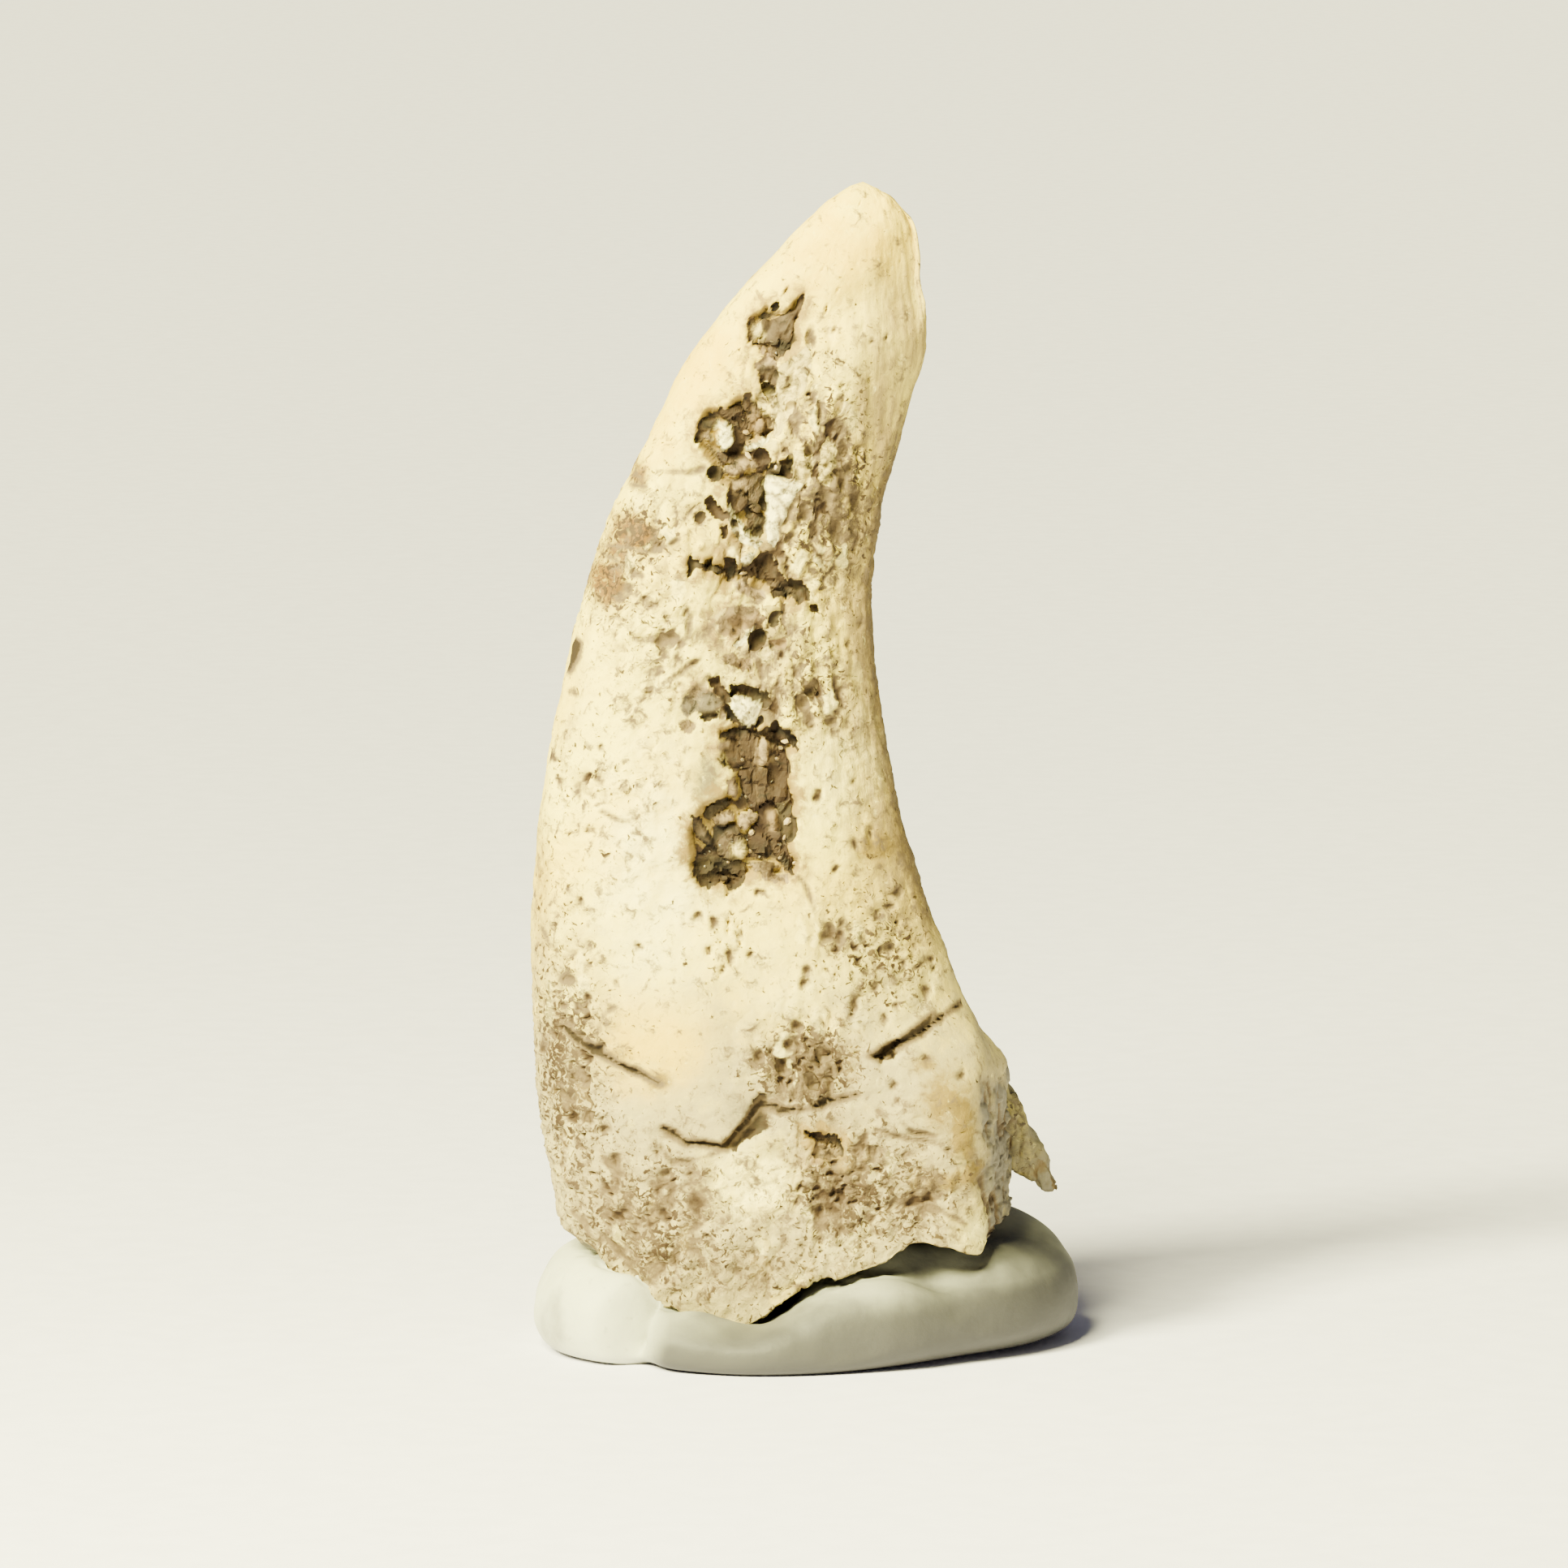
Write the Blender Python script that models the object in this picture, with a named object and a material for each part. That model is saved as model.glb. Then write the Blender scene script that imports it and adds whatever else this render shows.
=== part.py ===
"""A fossil claw bone that stands upright, pressed into a wad of soft mounting putty.

The claw is one piece of worn bone, flattened from side to side. Its convex back edge faces
-X and its hollow inner edge +X, so its tip leans towards +X. Its weathered side faces -Y.
Lengths are in millimetres until the meshes are made, which are in metres. The origin is at
the middle of the underside of the putty, +Z is up.
"""

import math

import bmesh
import bpy
from mathutils import Vector, noise

MM = 0.001

# The claw's outline from the side: height above the table, then the place along X.
BACK_EDGE = (
    (0.0, -6.4), (3.54, -7.42), (4.55, -7.76), (7.6, -8.24), (10.6, -8.5), (13.6, -8.5),
    (16.7, -8.28), (19.7, -7.78), (22.7, -7.13), (25.8, -6.18), (27.3, -5.5), (28.8, -4.76),
    (30.3, -4.05), (31.8, -3.08), (33.3, -1.82), (34.1, -1.1), (34.85, -0.38), (35.6, 0.43),
    (36.2, 1.3),
)
INNER_EDGE_NEAR = (
    (0.0, 5.5), (3.5, 5.6), (5.0, 5.5), (9.0, 5.48), (9.85, 5.43), (11.4, 4.71), (12.9, 4.16),
    (14.4, 3.61), (15.9, 3.16), (17.4, 2.79), (18.9, 2.46), (20.5, 2.24), (22.0, 2.04),
    (23.5, 1.96), (25.0, 2.08), (26.5, 2.31), (28.0, 2.7), (29.5, 3.08), (30.3, 3.35),
    (31.1, 3.58), (31.8, 3.65), (32.6, 3.6), (33.3, 3.42), (34.1, 3.4), (35.1, 3.22),
    (35.55, 2.88), (35.95, 2.5), (36.2, 2.05),
)
# How far the far side of the inner edge stands out past the near side, low on the claw.
FAR_FLARE = ((0.0, 0.85), (8.0, 0.8), (9.0, 0.68), (9.5, 0.3), (10.2, 0.0), (36.2, 0.0))
FLARE_BLEND = (-0.9, 0.5)
HALF_THICKNESS = (
    (0.0, 3.5), (4.0, 3.55), (7.0, 3.5), (11.0, 3.3), (16.0, 3.0), (20.0, 2.65), (24.0, 2.3),
    (28.0, 2.0), (31.0, 1.78), (33.3, 1.45), (34.8, 1.05), (35.6, 0.75), (36.2, 0.35),
)
TIP = Vector((1.68, 0.0, 36.34))
# The section is a superellipse: its inner end is nearly square low down and round further up.
ROUND_POWER, BOXY_POWER = 0.82, 0.34
BOXY_FADE = (8.3, 11.5)
# How much thinner the inner edge is than the back edge, where the section is round.
INNER_THINNING = 0.16
# The heights above are the claw's own: in the putty it stands this much lower.
PRESSED_DOWN = 0.25

# The broken lower end: place along X, then the height of the rim on the near side.
BROKEN_RIM_NEAR = (
    (-8.5, 4.6), (-7.5, 4.1), (-6.88, 3.7), (-6.3, 3.15), (-5.68, 2.57), (-5.1, 2.0), (-4.0, 1.9),
    (-3.38, 1.54), (-2.5, 1.26), (-1.65, 1.54), (-0.85, 2.17), (0.15, 2.87), (1.3, 3.05),
    (2.33, 3.45), (3.33, 4.04), (4.5, 3.81), (5.25, 3.58), (5.63, 3.96), (6.6, 4.0),
)
BROKEN_RIM_FAR_LOW, BROKEN_RIM_FAR_RISE = 2.1, 0.045
RIM_SIDE_BLEND = (-2.2, 2.6)
BASE_HOLLOW_CENTRE = (3.2, -0.1)
BASE_HOLLOW_RADII = (2.75, 2.75)
BASE_HOLLOW_DEPTH = 2.4

CLAW_COLUMNS = 60
# Rows run level above this height and bend towards the broken rim from here down to the lowest.
LOWEST_ROW = 2.0
RIM_BLEND_TOP = 7.5
ROW_SPACING = 0.85
TIP_ROWS_START = 34.4
TIP_ROWS = 6
CAP_RINGS = 6

# The shallow groove that runs up each flat side: height, then its place along X.
GROOVE_LINE = (
    (10.0, 0.2), (14.0, -1.6), (18.0, -1.9), (22.0, -2.0), (24.5, -1.7), (28.0, -1.6), (32.0, -0.8),
    (34.0, 0.6),
)
GROOVE_NEAR = (0.3, 1.7)
GROOVE_FAR = (0.45, 0.9)
GROOVE_FADE = (11.0, 15.0, 31.0, 34.0)
# The ledge along the groove's right side: place along X, height range, how far it stands out.
LEDGE_X = (-1.5, -0.9)
LEDGE_Z = (24.6, 25.8, 31.4, 32.6)
LEDGE_RISE = 0.22

# Holes in the near side: name, depth, then the outline as places along X and heights.
HOLES = (
    ("tip_pit", 0.5, (
        (-1.75, 32.4), (-1.27, 32.67), (-0.75, 32.52), (-0.28, 33.03), (-0.1, 32.8),
        (-0.3, 32.19), (-0.15, 31.56), (-0.62, 31.13), (-1.23, 31.31), (-1.73, 31.66),
        (-1.6, 32.04),
    )),
    ("upper_cavity", 0.65, (
        (-3.45, 28.93), (-3.12, 29.56), (-2.5, 29.69), (-2.02, 29.97), (-1.62, 29.56),
        (-1.23, 29.31), (-1.3, 28.68), (-1.73, 28.3), (-1.35, 27.85), (-0.72, 28.05),
        (-0.55, 27.54), (-1.27, 27.29), (-1.27, 26.28), (-1.6, 25.57), (-2.25, 25.62),
        (-2.4, 26.28), (-2.23, 27.04), (-2.77, 27.37), (-2.9, 27.92), (-3.33, 28.3),
    )),
    ("cross_spot", 0.4, (
        (-3.67, 24.85), (-2.88, 25.05), (-2.38, 24.69), (-1.62, 25.1), (-1.1, 24.49),
        (-0.07, 23.91), (-0.47, 23.61), (-1.25, 23.86), (-1.75, 24.24), (-2.38, 24.11),
        (-3.12, 24.47),
    )),
    ("middle_dip", 0.2, (
        (-3.42, 23.98), (-2.62, 24.21), (-1.95, 23.68), (-1.32, 23.02), (-1.75, 22.21),
        (-2.62, 21.99), (-3.3, 22.64),
    )),
    ("white_chip_gap", 0.3, (
        (-3.92, 21.45), (-3.17, 21.67), (-2.45, 21.37), (-2.25, 20.87), (-2.62, 20.21),
        (-3.33, 20.08), (-3.83, 20.66),
    )),
    ("long_cavity", 0.75, (
        (-2.8, 19.75), (-2.02, 20.05), (-1.18, 19.67), (-0.35, 19.45), (-0.53, 18.56),
        (-0.28, 17.55), (-0.45, 16.54), (-0.23, 15.48), (-0.88, 15.03), (-1.57, 15.41),
        (-2.25, 14.85), (-3.15, 14.95), (-3.65, 15.66), (-3.7, 16.79), (-3.27, 17.55),
        (-2.6, 17.78), (-2.23, 18.56), (-2.58, 19.19),
    )),
    ("crack_right", 0.5, (
        (4.92, 11.12), (4.25, 10.82), (3.4, 10.21), (2.65, 9.53), (1.88, 9.76), (2.5, 10.11),
        (3.23, 10.47), (3.92, 10.97),
    )),
    ("crack_middle", 0.6, (
        (-4.08, 7.45), (-3.12, 7.25), (-2.48, 7.28), (-2.0, 7.81), (-1.43, 8.72), (-1.05, 8.57),
        (-1.23, 7.88), (-1.73, 7.23), (-2.4, 6.8), (-3.38, 7.0),
    )),
    ("crack_left", 0.25, (
        (-7.53, 10.49), (-6.83, 10.19), (-5.58, 9.56), (-4.47, 9.05), (-4.58, 8.82),
        (-5.72, 9.23), (-6.92, 9.83),
    )),
    ("worn_patch", 0.25, (
        (-1.3, 10.17), (-0.68, 10.65), (0.15, 10.05), (0.88, 9.89), (0.93, 9.29), (0.38, 8.66),
        (-0.5, 8.93), (-1.12, 9.49),
    )),
    ("lower_hole", 0.45, (
        (-0.12, 7.35), (0.45, 7.58), (1.15, 7.18), (1.05, 6.7), (0.4, 6.92),
    )),
    ("edge_nick", 0.25, (
        (-7.33, 22.47), (-6.9, 22.32), (-6.97, 21.82), (-7.3, 21.51),
    )),
)
# A hole narrows to this share of its outline at its floor, which is uneven by this share.
HOLE_FLOOR_SHARE = 0.74
HOLE_FLOOR_UNEVEN = 0.9
# The cutters start this far outside the bone.
HOLE_START = 0.8

# The splinter of the far wall that points out and down past the inner edge, as a side outline.
SPLINTER_OUTLINE = (
    (5.3, 8.75), (6.1, 8.35), (7.82, 5.05), (7.86, 4.72), (7.62, 4.6), (6.45, 5.25), (5.3, 5.7),
)
SPLINTER_NEAR_FACE, SPLINTER_FAR_FACE = 1.3, 2.7
SPLINTER_EDGE_THIN = 0.45
SPLINTER_ROOT_X, SPLINTER_TIP_X = 5.3, 7.86

# The putty's outline from above at its widest, anticlockwise from its right end: X, Y, crest
# height, and how far under the bulge the floor edge lies, as a share of the reach.
PUTTY_OUTLINE = (
    (8.45, 1.2, 3.3, 0.84), (8.0, 3.3, 3.9, 0.9), (6.2, 4.8, 4.1, 0.9), (3.2, 5.2, 3.9, 0.91),
    (0.0, 5.3, 3.4, 0.91), (-3.2, 5.2, 3.2, 0.91), (-6.3, 4.4, 3.3, 0.9), (-8.0, 2.2, 3.4, 0.9),
    (-8.45, -0.2, 3.4, 0.91), (-8.05, -2.3, 3.3, 0.9), (-6.7, -3.8, 2.8, 0.88),
    (-5.3, -3.8, 1.9, 0.84), (-4.3, -4.9, 1.75, 0.88), (-2.0, -5.5, 1.4, 0.92),
    (0.5, -5.4, 2.3, 0.9), (2.9, -4.7, 2.9, 0.82), (5.3, -3.4, 3.3, 0.72), (7.5, -1.4, 3.4, 0.76),
)
# The wad's upright profile, from its floor edge to its crest: how much of the way from the
# floor edge out to the bulge, the share of that reach, and the share of the crest height.
PUTTY_PROFILE = (
    (0.0, 1.0, 0.0), (0.62, 1.0, 0.07), (0.93, 1.0, 0.2), (1.0, 1.0, 0.38), (1.0, 0.98, 0.6),
    (1.0, 0.92, 0.81), (1.0, 0.83, 0.94), (1.0, 0.7, 1.0), (1.0, 0.5, 1.02), (1.0, 0.25, 1.0),
)
PUTTY_COLUMNS = 54
FIT_GAP = 0.3
FOOT_ROWS = (LOWEST_ROW, 3.2, 4.6, 6.2, RIM_BLEND_TOP, 9.0)
FOOT_COLUMNS = 44

SURFACE_GRAIN = ((0.35, 0.10), (1.1, 0.05))
PUTTY_GRAIN = ((0.4, 0.12),)


def clear_scene():
    for obj in list(bpy.data.objects):
        bpy.data.objects.remove(obj)


def material(name, colour, roughness):
    made = bpy.data.materials.new(name)
    made.use_nodes = True
    shader = made.node_tree.nodes["Principled BSDF"]
    shader.inputs["Base Color"].default_value = (*colour, 1.0)
    shader.inputs["Roughness"].default_value = roughness
    shader.inputs["Metallic"].default_value = 0.0
    made.diffuse_color = (*colour, 1.0)
    return made


def add_object(name, mesh, finish):
    obj = bpy.data.objects.new(name, mesh)
    bpy.context.scene.collection.objects.link(obj)
    obj.data.materials.append(finish)
    return obj


def clamp(value):
    return min(1.0, max(0.0, value))


def smooth_step(low, high, value):
    t = clamp((value - low) / (high - low))
    return t * t * (3 - 2 * t)


def curve_value(table, at):
    """The value of a table at a place along it, on a smooth curve through its points."""
    if at <= table[0][0]:
        return table[0][1]
    if at >= table[-1][0]:
        return table[-1][1]
    i = max(k for k in range(len(table) - 1) if table[k][0] <= at)
    (x0, y0), (x1, y1) = table[i], table[i + 1]
    before = table[max(i - 1, 0)]
    after = table[min(i + 2, len(table) - 1)]
    start = (y1 - before[1]) / (x1 - before[0])
    end = (after[1] - y0) / (after[0] - x0)
    span = x1 - x0
    t = (at - x0) / span
    return (
        y0 * (2 * t**3 - 3 * t**2 + 1)
        + start * span * (t**3 - 2 * t**2 + t)
        + y1 * (3 * t**2 - 2 * t**3)
        + end * span * (t**3 - t**2)
    )


def grain(point, octaves):
    """A small smooth unevenness: each octave has its frequency per millimetre and its size."""
    return sum(size * noise.noise(point * frequency) for frequency, size in octaves)


def signed_power(value, power):
    return math.copysign(abs(value) ** power, value)


def rim_height(x, y):
    """The height of the broken lower edge at a place seen from above."""
    near = curve_value(BROKEN_RIM_NEAR, x)
    far = BROKEN_RIM_FAR_LOW + BROKEN_RIM_FAR_RISE * (x + 1.0) ** 2
    share = smooth_step(*RIM_SIDE_BLEND, y)
    return near * (1 - share) + far * share


def section_point(angle, z, grow=0.0):
    """X and Y of the claw's skin at a height, in a direction round its middle line."""
    across, through = math.cos(angle), math.sin(angle)
    round_share = smooth_step(*BOXY_FADE, z)
    power = ROUND_POWER
    if across > 0:
        power = BOXY_POWER + (ROUND_POWER - BOXY_POWER) * round_share
    across, through = signed_power(across, power), signed_power(through, power)
    back = curve_value(BACK_EDGE, z)
    inner = curve_value(INNER_EDGE_NEAR, z)
    inner += curve_value(FAR_FLARE, z) * smooth_step(*FLARE_BLEND, through)
    middle, half_width = (back + inner) / 2, (inner - back) / 2
    x = middle + (half_width + grow) * across
    thickness = curve_value(HALF_THICKNESS, z) * (1 - INNER_THINNING * across * round_share)
    y = (thickness + grow) * through
    return x, y - groove_depth(x, z, through)


def groove_depth(x, z, through):
    """How far the groove and ledge of each flat side draw the skin in, signed along Y."""
    low, full, fading, gone = GROOVE_FADE
    depth, width = GROOVE_FAR if through > 0 else GROOVE_NEAR
    here = math.exp(-(((x - curve_value(GROOVE_LINE, z)) / width) ** 2))
    strength = smooth_step(low, full, z) * (1 - smooth_step(fading, gone, z))
    ledge = 0.0
    if through < 0:
        bottom, low_end, high_end, top = LEDGE_Z
        ledge = LEDGE_RISE * smooth_step(*LEDGE_X, x) * abs(through)
        ledge *= smooth_step(bottom, low_end, z) * (1 - smooth_step(high_end, top, z))
    return math.copysign(1.0, through) * (depth * here * strength * abs(through) - ledge)


def claw_rows():
    """The heights of the claw's rows, counted from the rim line, closer together at the tip."""
    count = round((TIP_ROWS_START - LOWEST_ROW) / ROW_SPACING)
    rows = [LOWEST_ROW + (TIP_ROWS_START - LOWEST_ROW) * i / count for i in range(count + 1)]
    top = BACK_EDGE[-1][0]
    for i in range(1, TIP_ROWS + 1):
        rows.append(TIP_ROWS_START + (top - TIP_ROWS_START) * math.sin(i / TIP_ROWS * math.pi / 2))
    return rows


def skin_point(angle, row_height, grow=0.0):
    """A point of the claw's skin. Rows bend down to meet the broken rim at the lower end."""
    z = row_height
    for _ in range(3):
        x, y = section_point(angle, z, grow)
        share = clamp((row_height - LOWEST_ROW) / (RIM_BLEND_TOP - LOWEST_ROW))
        rim = rim_height(x, y) - grow
        z = rim + (RIM_BLEND_TOP - rim) * share if share < 1 else row_height
    return Vector((x, y, z))


def cap_height(x, y, z_rim, grow=0.0):
    """The underside of the claw: the broken face, with the hollow of the joint in it."""
    u = (x - BASE_HOLLOW_CENTRE[0]) / BASE_HOLLOW_RADII[0]
    v = (y - BASE_HOLLOW_CENTRE[1]) / BASE_HOLLOW_RADII[1]
    hollow = BASE_HOLLOW_DEPTH * smooth_step(0.0, 0.75, 1 - u * u - v * v)
    return z_rim + hollow * (grow == 0.0)


def loft(rings, bottom, top):
    """A closed skin over rings of points, with a fan at each end."""
    shape = bmesh.new()
    loops = [[shape.verts.new(p * MM) for p in ring] for ring in rings]
    low, high = shape.verts.new(bottom * MM), shape.verts.new(top * MM)
    count = len(loops[0])
    for k in range(count):
        following = (k + 1) % count
        shape.faces.new((low, loops[0][following], loops[0][k]))
        shape.faces.new((high, loops[-1][k], loops[-1][following]))
        for below, above in zip(loops, loops[1:]):
            shape.faces.new((below[k], below[following], above[following], above[k]))
    bmesh.ops.recalc_face_normals(shape, faces=shape.faces)
    return shape


def finished_mesh(name, shape):
    mesh = bpy.data.meshes.new(name)
    shape.to_mesh(mesh)
    shape.free()
    mesh.shade_smooth()
    mesh.set_sharp_from_angle(angle=math.radians(45))
    return mesh


def claw_skin(name, heights, columns, grow=0.0, top=None):
    """The claw's closed skin up to the last of the heights, or the same shape grown outwards."""
    angles = [2 * math.pi * k / columns for k in range(columns)]
    rings = [[skin_point(a, z, grow) for a in angles] for z in heights]
    rim = rings[0]
    middle = sum(rim, Vector()) / len(rim)
    cap = []
    for i in range(1, CAP_RINGS):
        share = i / CAP_RINGS
        ring = []
        for p in rim:
            x, y = middle.x + (p.x - middle.x) * share, middle.y + (p.y - middle.y) * share
            ring.append(Vector((x, y, cap_height(x, y, rim_height(x, y) - grow, grow))))
        cap.append(ring)
    centre = Vector((middle.x, middle.y, 0.0))
    centre.z = cap_height(centre.x, centre.y, rim_height(centre.x, centre.y) - grow, grow)
    if top is None:
        last = rings[-1]
        top = sum(last, Vector()) / len(last)
    if grow == 0.0:
        for ring in rings[1:-3]:
            for p in ring:
                p.y += grain(p, SURFACE_GRAIN)
    return finished_mesh(name, loft(cap + rings, centre, top))


def hole_cutter(name, depth, outline, finish):
    """A block with a jagged outline that narrows inwards to an uneven floor."""
    shape = bmesh.new()
    middle = sum((Vector((x, 0.0, z)) for x, z in outline), Vector()) / len(outline)
    mouth, lip, floor = [], [], []
    for x, z in outline:
        out = Vector((x, 0.0, z)) - middle
        y = near_surface_y(x, z)
        mouth.append(shape.verts.new((middle + out * 1.05 + Vector((0.0, y - HOLE_START, 0.0))) * MM))
        lip.append(shape.verts.new((middle + out * 0.97 + Vector((0.0, y + 0.1, 0.0))) * MM))
        deep = depth * (1 + HOLE_FLOOR_UNEVEN * noise.noise(Vector((x * 0.9, depth, z * 0.9))))
        at = middle + out * HOLE_FLOOR_SHARE
        floor.append(shape.verts.new((at + Vector((0.0, y + deep, 0.0))) * MM))
    shape.faces.new(mouth)
    shape.faces.new(list(reversed(floor)))
    for k in range(len(outline)):
        following = (k + 1) % len(outline)
        shape.faces.new((mouth[k], lip[k], lip[following], mouth[following]))
        shape.faces.new((lip[k], floor[k], floor[following], lip[following]))
    bmesh.ops.recalc_face_normals(shape, faces=shape.faces)
    bmesh.ops.triangulate(shape, faces=shape.faces)
    return add_object(name, finished_mesh(name, shape), finish)


def near_surface_y(x, z):
    """Y of the near side of the claw at a place seen from the front."""
    angles = [math.pi + math.pi * i / 90 for i in range(91)]
    return min((abs(section_point(a, z)[0] - x), section_point(a, z)[1]) for a in angles)[1]


def splinter_mesh():
    """The pointed splinter: its side outline, thinner towards its point."""
    shape = bmesh.new()
    middle_y = (SPLINTER_NEAR_FACE + SPLINTER_FAR_FACE) / 2
    half_root = (SPLINTER_FAR_FACE - SPLINTER_NEAR_FACE) / 2
    faces = []
    for side in (-1, 1):
        corners = []
        for x, z in SPLINTER_OUTLINE:
            along = clamp((x - SPLINTER_ROOT_X) / (SPLINTER_TIP_X - SPLINTER_ROOT_X))
            half = half_root * (1 - along) + SPLINTER_EDGE_THIN * along
            corners.append(shape.verts.new(Vector((x, middle_y + side * half, z)) * MM))
        faces.append(corners)
    near, far = faces
    shape.faces.new(near)
    shape.faces.new(reversed(far))
    for k in range(len(near)):
        following = (k + 1) % len(near)
        shape.faces.new((near[k], far[k], far[following], near[following]))
    bmesh.ops.recalc_face_normals(shape, faces=shape.faces)
    bmesh.ops.triangulate(shape, faces=shape.faces)
    return finished_mesh("splinter", shape)


def as_helper(obj, collection, place):
    """Keeps an object out of the model: it only cuts or joins, where the claw stands."""
    obj.parent = place
    bpy.context.scene.collection.objects.unlink(obj)
    collection.objects.link(obj)
    obj.hide_render = True
    obj.display_type = "WIRE"


def boolean(obj, name, operation, collection):
    modifier = obj.modifiers.new(name, "BOOLEAN")
    modifier.operation = operation
    modifier.solver = "EXACT"
    modifier.operand_type = "COLLECTION"
    modifier.collection = collection


def helper_collection(name):
    made = bpy.data.collections.new(name)
    bpy.context.scene.collection.children.link(made)
    return made


def make_claw(place, bone):
    claw = add_object("claw", claw_skin("claw", claw_rows(), CLAW_COLUMNS, top=TIP), bone)
    claw.parent = place
    additions = helper_collection("claw_additions")
    as_helper(add_object("splinter", splinter_mesh(), bone), additions, place)
    boolean(claw, "join splinter", "UNION", additions)
    cutters = helper_collection("claw_cutters")
    for name, depth, outline in HOLES:
        as_helper(hole_cutter(name, depth, outline, bone), cutters, place)
    boolean(claw, "cut holes", "DIFFERENCE", cutters)
    return claw


def putty_edge(turn):
    """X, Y, crest height and floor share of the wad at a share of the way round it."""
    count = len(PUTTY_OUTLINE)
    values = []
    for k in range(4):
        table = [(i, PUTTY_OUTLINE[i % count][k]) for i in range(-2, count + 3)]
        values.append(curve_value(table, turn * count))
    return values


def putty_ring(outward, share, height):
    ring = []
    for k in range(PUTTY_COLUMNS):
        x, y, crest, floor_share = putty_edge(k / PUTTY_COLUMNS)
        reach = share * (floor_share + (1 - floor_share) * outward)
        p = Vector((x * reach, y * reach, crest * height))
        if height > PUTTY_PROFILE[1][2]:
            p.z += grain(p, PUTTY_GRAIN)
        ring.append(p)
    return ring


def make_putty(place, putty_finish):
    rings = [putty_ring(*step) for step in PUTTY_PROFILE]
    top = sum(rings[-1], Vector()) / PUTTY_COLUMNS
    putty = add_object("putty", finished_mesh("putty", loft(rings, Vector(), top)), putty_finish)
    feet = helper_collection("putty_cutters")
    foot_mesh = claw_skin("claw_foot", FOOT_ROWS, FOOT_COLUMNS, grow=FIT_GAP)
    as_helper(add_object("claw_foot", foot_mesh, putty_finish), feet, place)
    boolean(putty, "press claw in", "DIFFERENCE", feet)
    return putty


def main():
    clear_scene()
    place = bpy.data.objects.new("claw_place", None)
    place.location = Vector((0.0, 0.0, -PRESSED_DOWN)) * MM
    bpy.context.scene.collection.objects.link(place)
    make_claw(place, material("fossil bone", (0.80, 0.71, 0.49), 0.8))
    make_putty(place, material("mounting putty", (0.78, 0.77, 0.68), 0.65))


main()
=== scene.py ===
"""A fossil claw bone that stands upright in a wad of soft mounting putty, on a white table.

Shapes are worked out in millimetres and made into meshes in metres, in the frame's own axes: +Z
up, the claw's weathered side towards -Y and its hollow inner edge towards +X.
"""

import math

import bmesh
import bpy
import numpy as np
from mathutils import Euler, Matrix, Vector, noise
from mathutils.bvhtree import BVHTree


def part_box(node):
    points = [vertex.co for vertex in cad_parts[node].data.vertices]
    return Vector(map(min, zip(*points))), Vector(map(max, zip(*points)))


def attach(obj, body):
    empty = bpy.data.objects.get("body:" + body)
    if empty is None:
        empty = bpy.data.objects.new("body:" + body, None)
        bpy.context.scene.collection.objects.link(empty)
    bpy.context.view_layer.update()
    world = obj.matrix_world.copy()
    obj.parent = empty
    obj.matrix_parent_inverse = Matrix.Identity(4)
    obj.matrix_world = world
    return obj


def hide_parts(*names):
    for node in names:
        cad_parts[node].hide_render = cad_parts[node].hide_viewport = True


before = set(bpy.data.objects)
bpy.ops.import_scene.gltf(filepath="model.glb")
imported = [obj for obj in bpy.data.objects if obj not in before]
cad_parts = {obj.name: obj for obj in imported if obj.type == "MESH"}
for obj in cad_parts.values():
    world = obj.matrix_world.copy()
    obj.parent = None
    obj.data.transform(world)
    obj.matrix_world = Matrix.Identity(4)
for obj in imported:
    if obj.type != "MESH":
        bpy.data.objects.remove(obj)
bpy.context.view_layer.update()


# The claw is one bone, grown in one piece and flattened from side to side, that turned to stone
# and broke off at its lower end. Its outline gives the place of each edge along X at each height
# above the putty's floor, before the claw was pressed down into the putty.
MM = 0.001
BACK_EDGE = (
    (0.0, -6.4), (3.54, -7.42), (4.55, -7.76), (7.6, -8.24), (10.6, -8.5), (13.6, -8.5),
    (16.7, -8.28), (19.7, -7.78), (22.7, -7.13), (25.8, -6.18), (27.3, -5.5), (28.8, -4.76),
    (30.3, -4.05), (31.8, -3.08), (33.3, -1.82), (34.1, -1.1), (34.85, -0.38), (35.6, 0.43),
    (36.2, 1.3),
)
INNER_EDGE_NEAR = (
    (0.0, 5.5), (3.5, 5.6), (5.0, 5.5), (9.0, 5.48), (9.85, 5.43), (11.4, 4.71), (12.9, 4.16),
    (14.4, 3.61), (15.9, 3.16), (17.4, 2.79), (18.9, 2.46), (20.5, 2.24), (22.0, 2.04),
    (23.5, 1.96), (25.0, 2.08), (26.5, 2.31), (28.0, 2.7), (29.5, 3.08), (30.3, 3.35),
    (31.1, 3.58), (31.8, 3.65), (32.6, 3.6), (33.3, 3.42), (34.1, 3.4), (35.1, 3.22),
    (35.55, 2.88), (35.95, 2.5), (36.2, 2.05),
)
FAR_FLARE = ((0.0, 0.85), (8.0, 0.8), (9.0, 0.68), (9.5, 0.3), (10.2, 0.0), (36.2, 0.0))
FLARE_BLEND = (-0.9, 0.5)
HALF_THICKNESS = (
    (0.0, 3.5), (4.0, 3.55), (7.0, 3.5), (11.0, 3.3), (16.0, 3.0), (20.0, 2.65), (24.0, 2.3),
    (28.0, 2.0), (31.0, 1.78), (33.3, 1.45), (34.8, 1.05), (35.6, 0.75), (36.2, 0.35),
)
TIP = (1.68, 0.0, 36.34)
ROUND_POWER, BOXY_POWER = 0.82, 0.34
BOXY_FADE = (8.3, 11.5)
INNER_THINNING = 0.16
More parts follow.
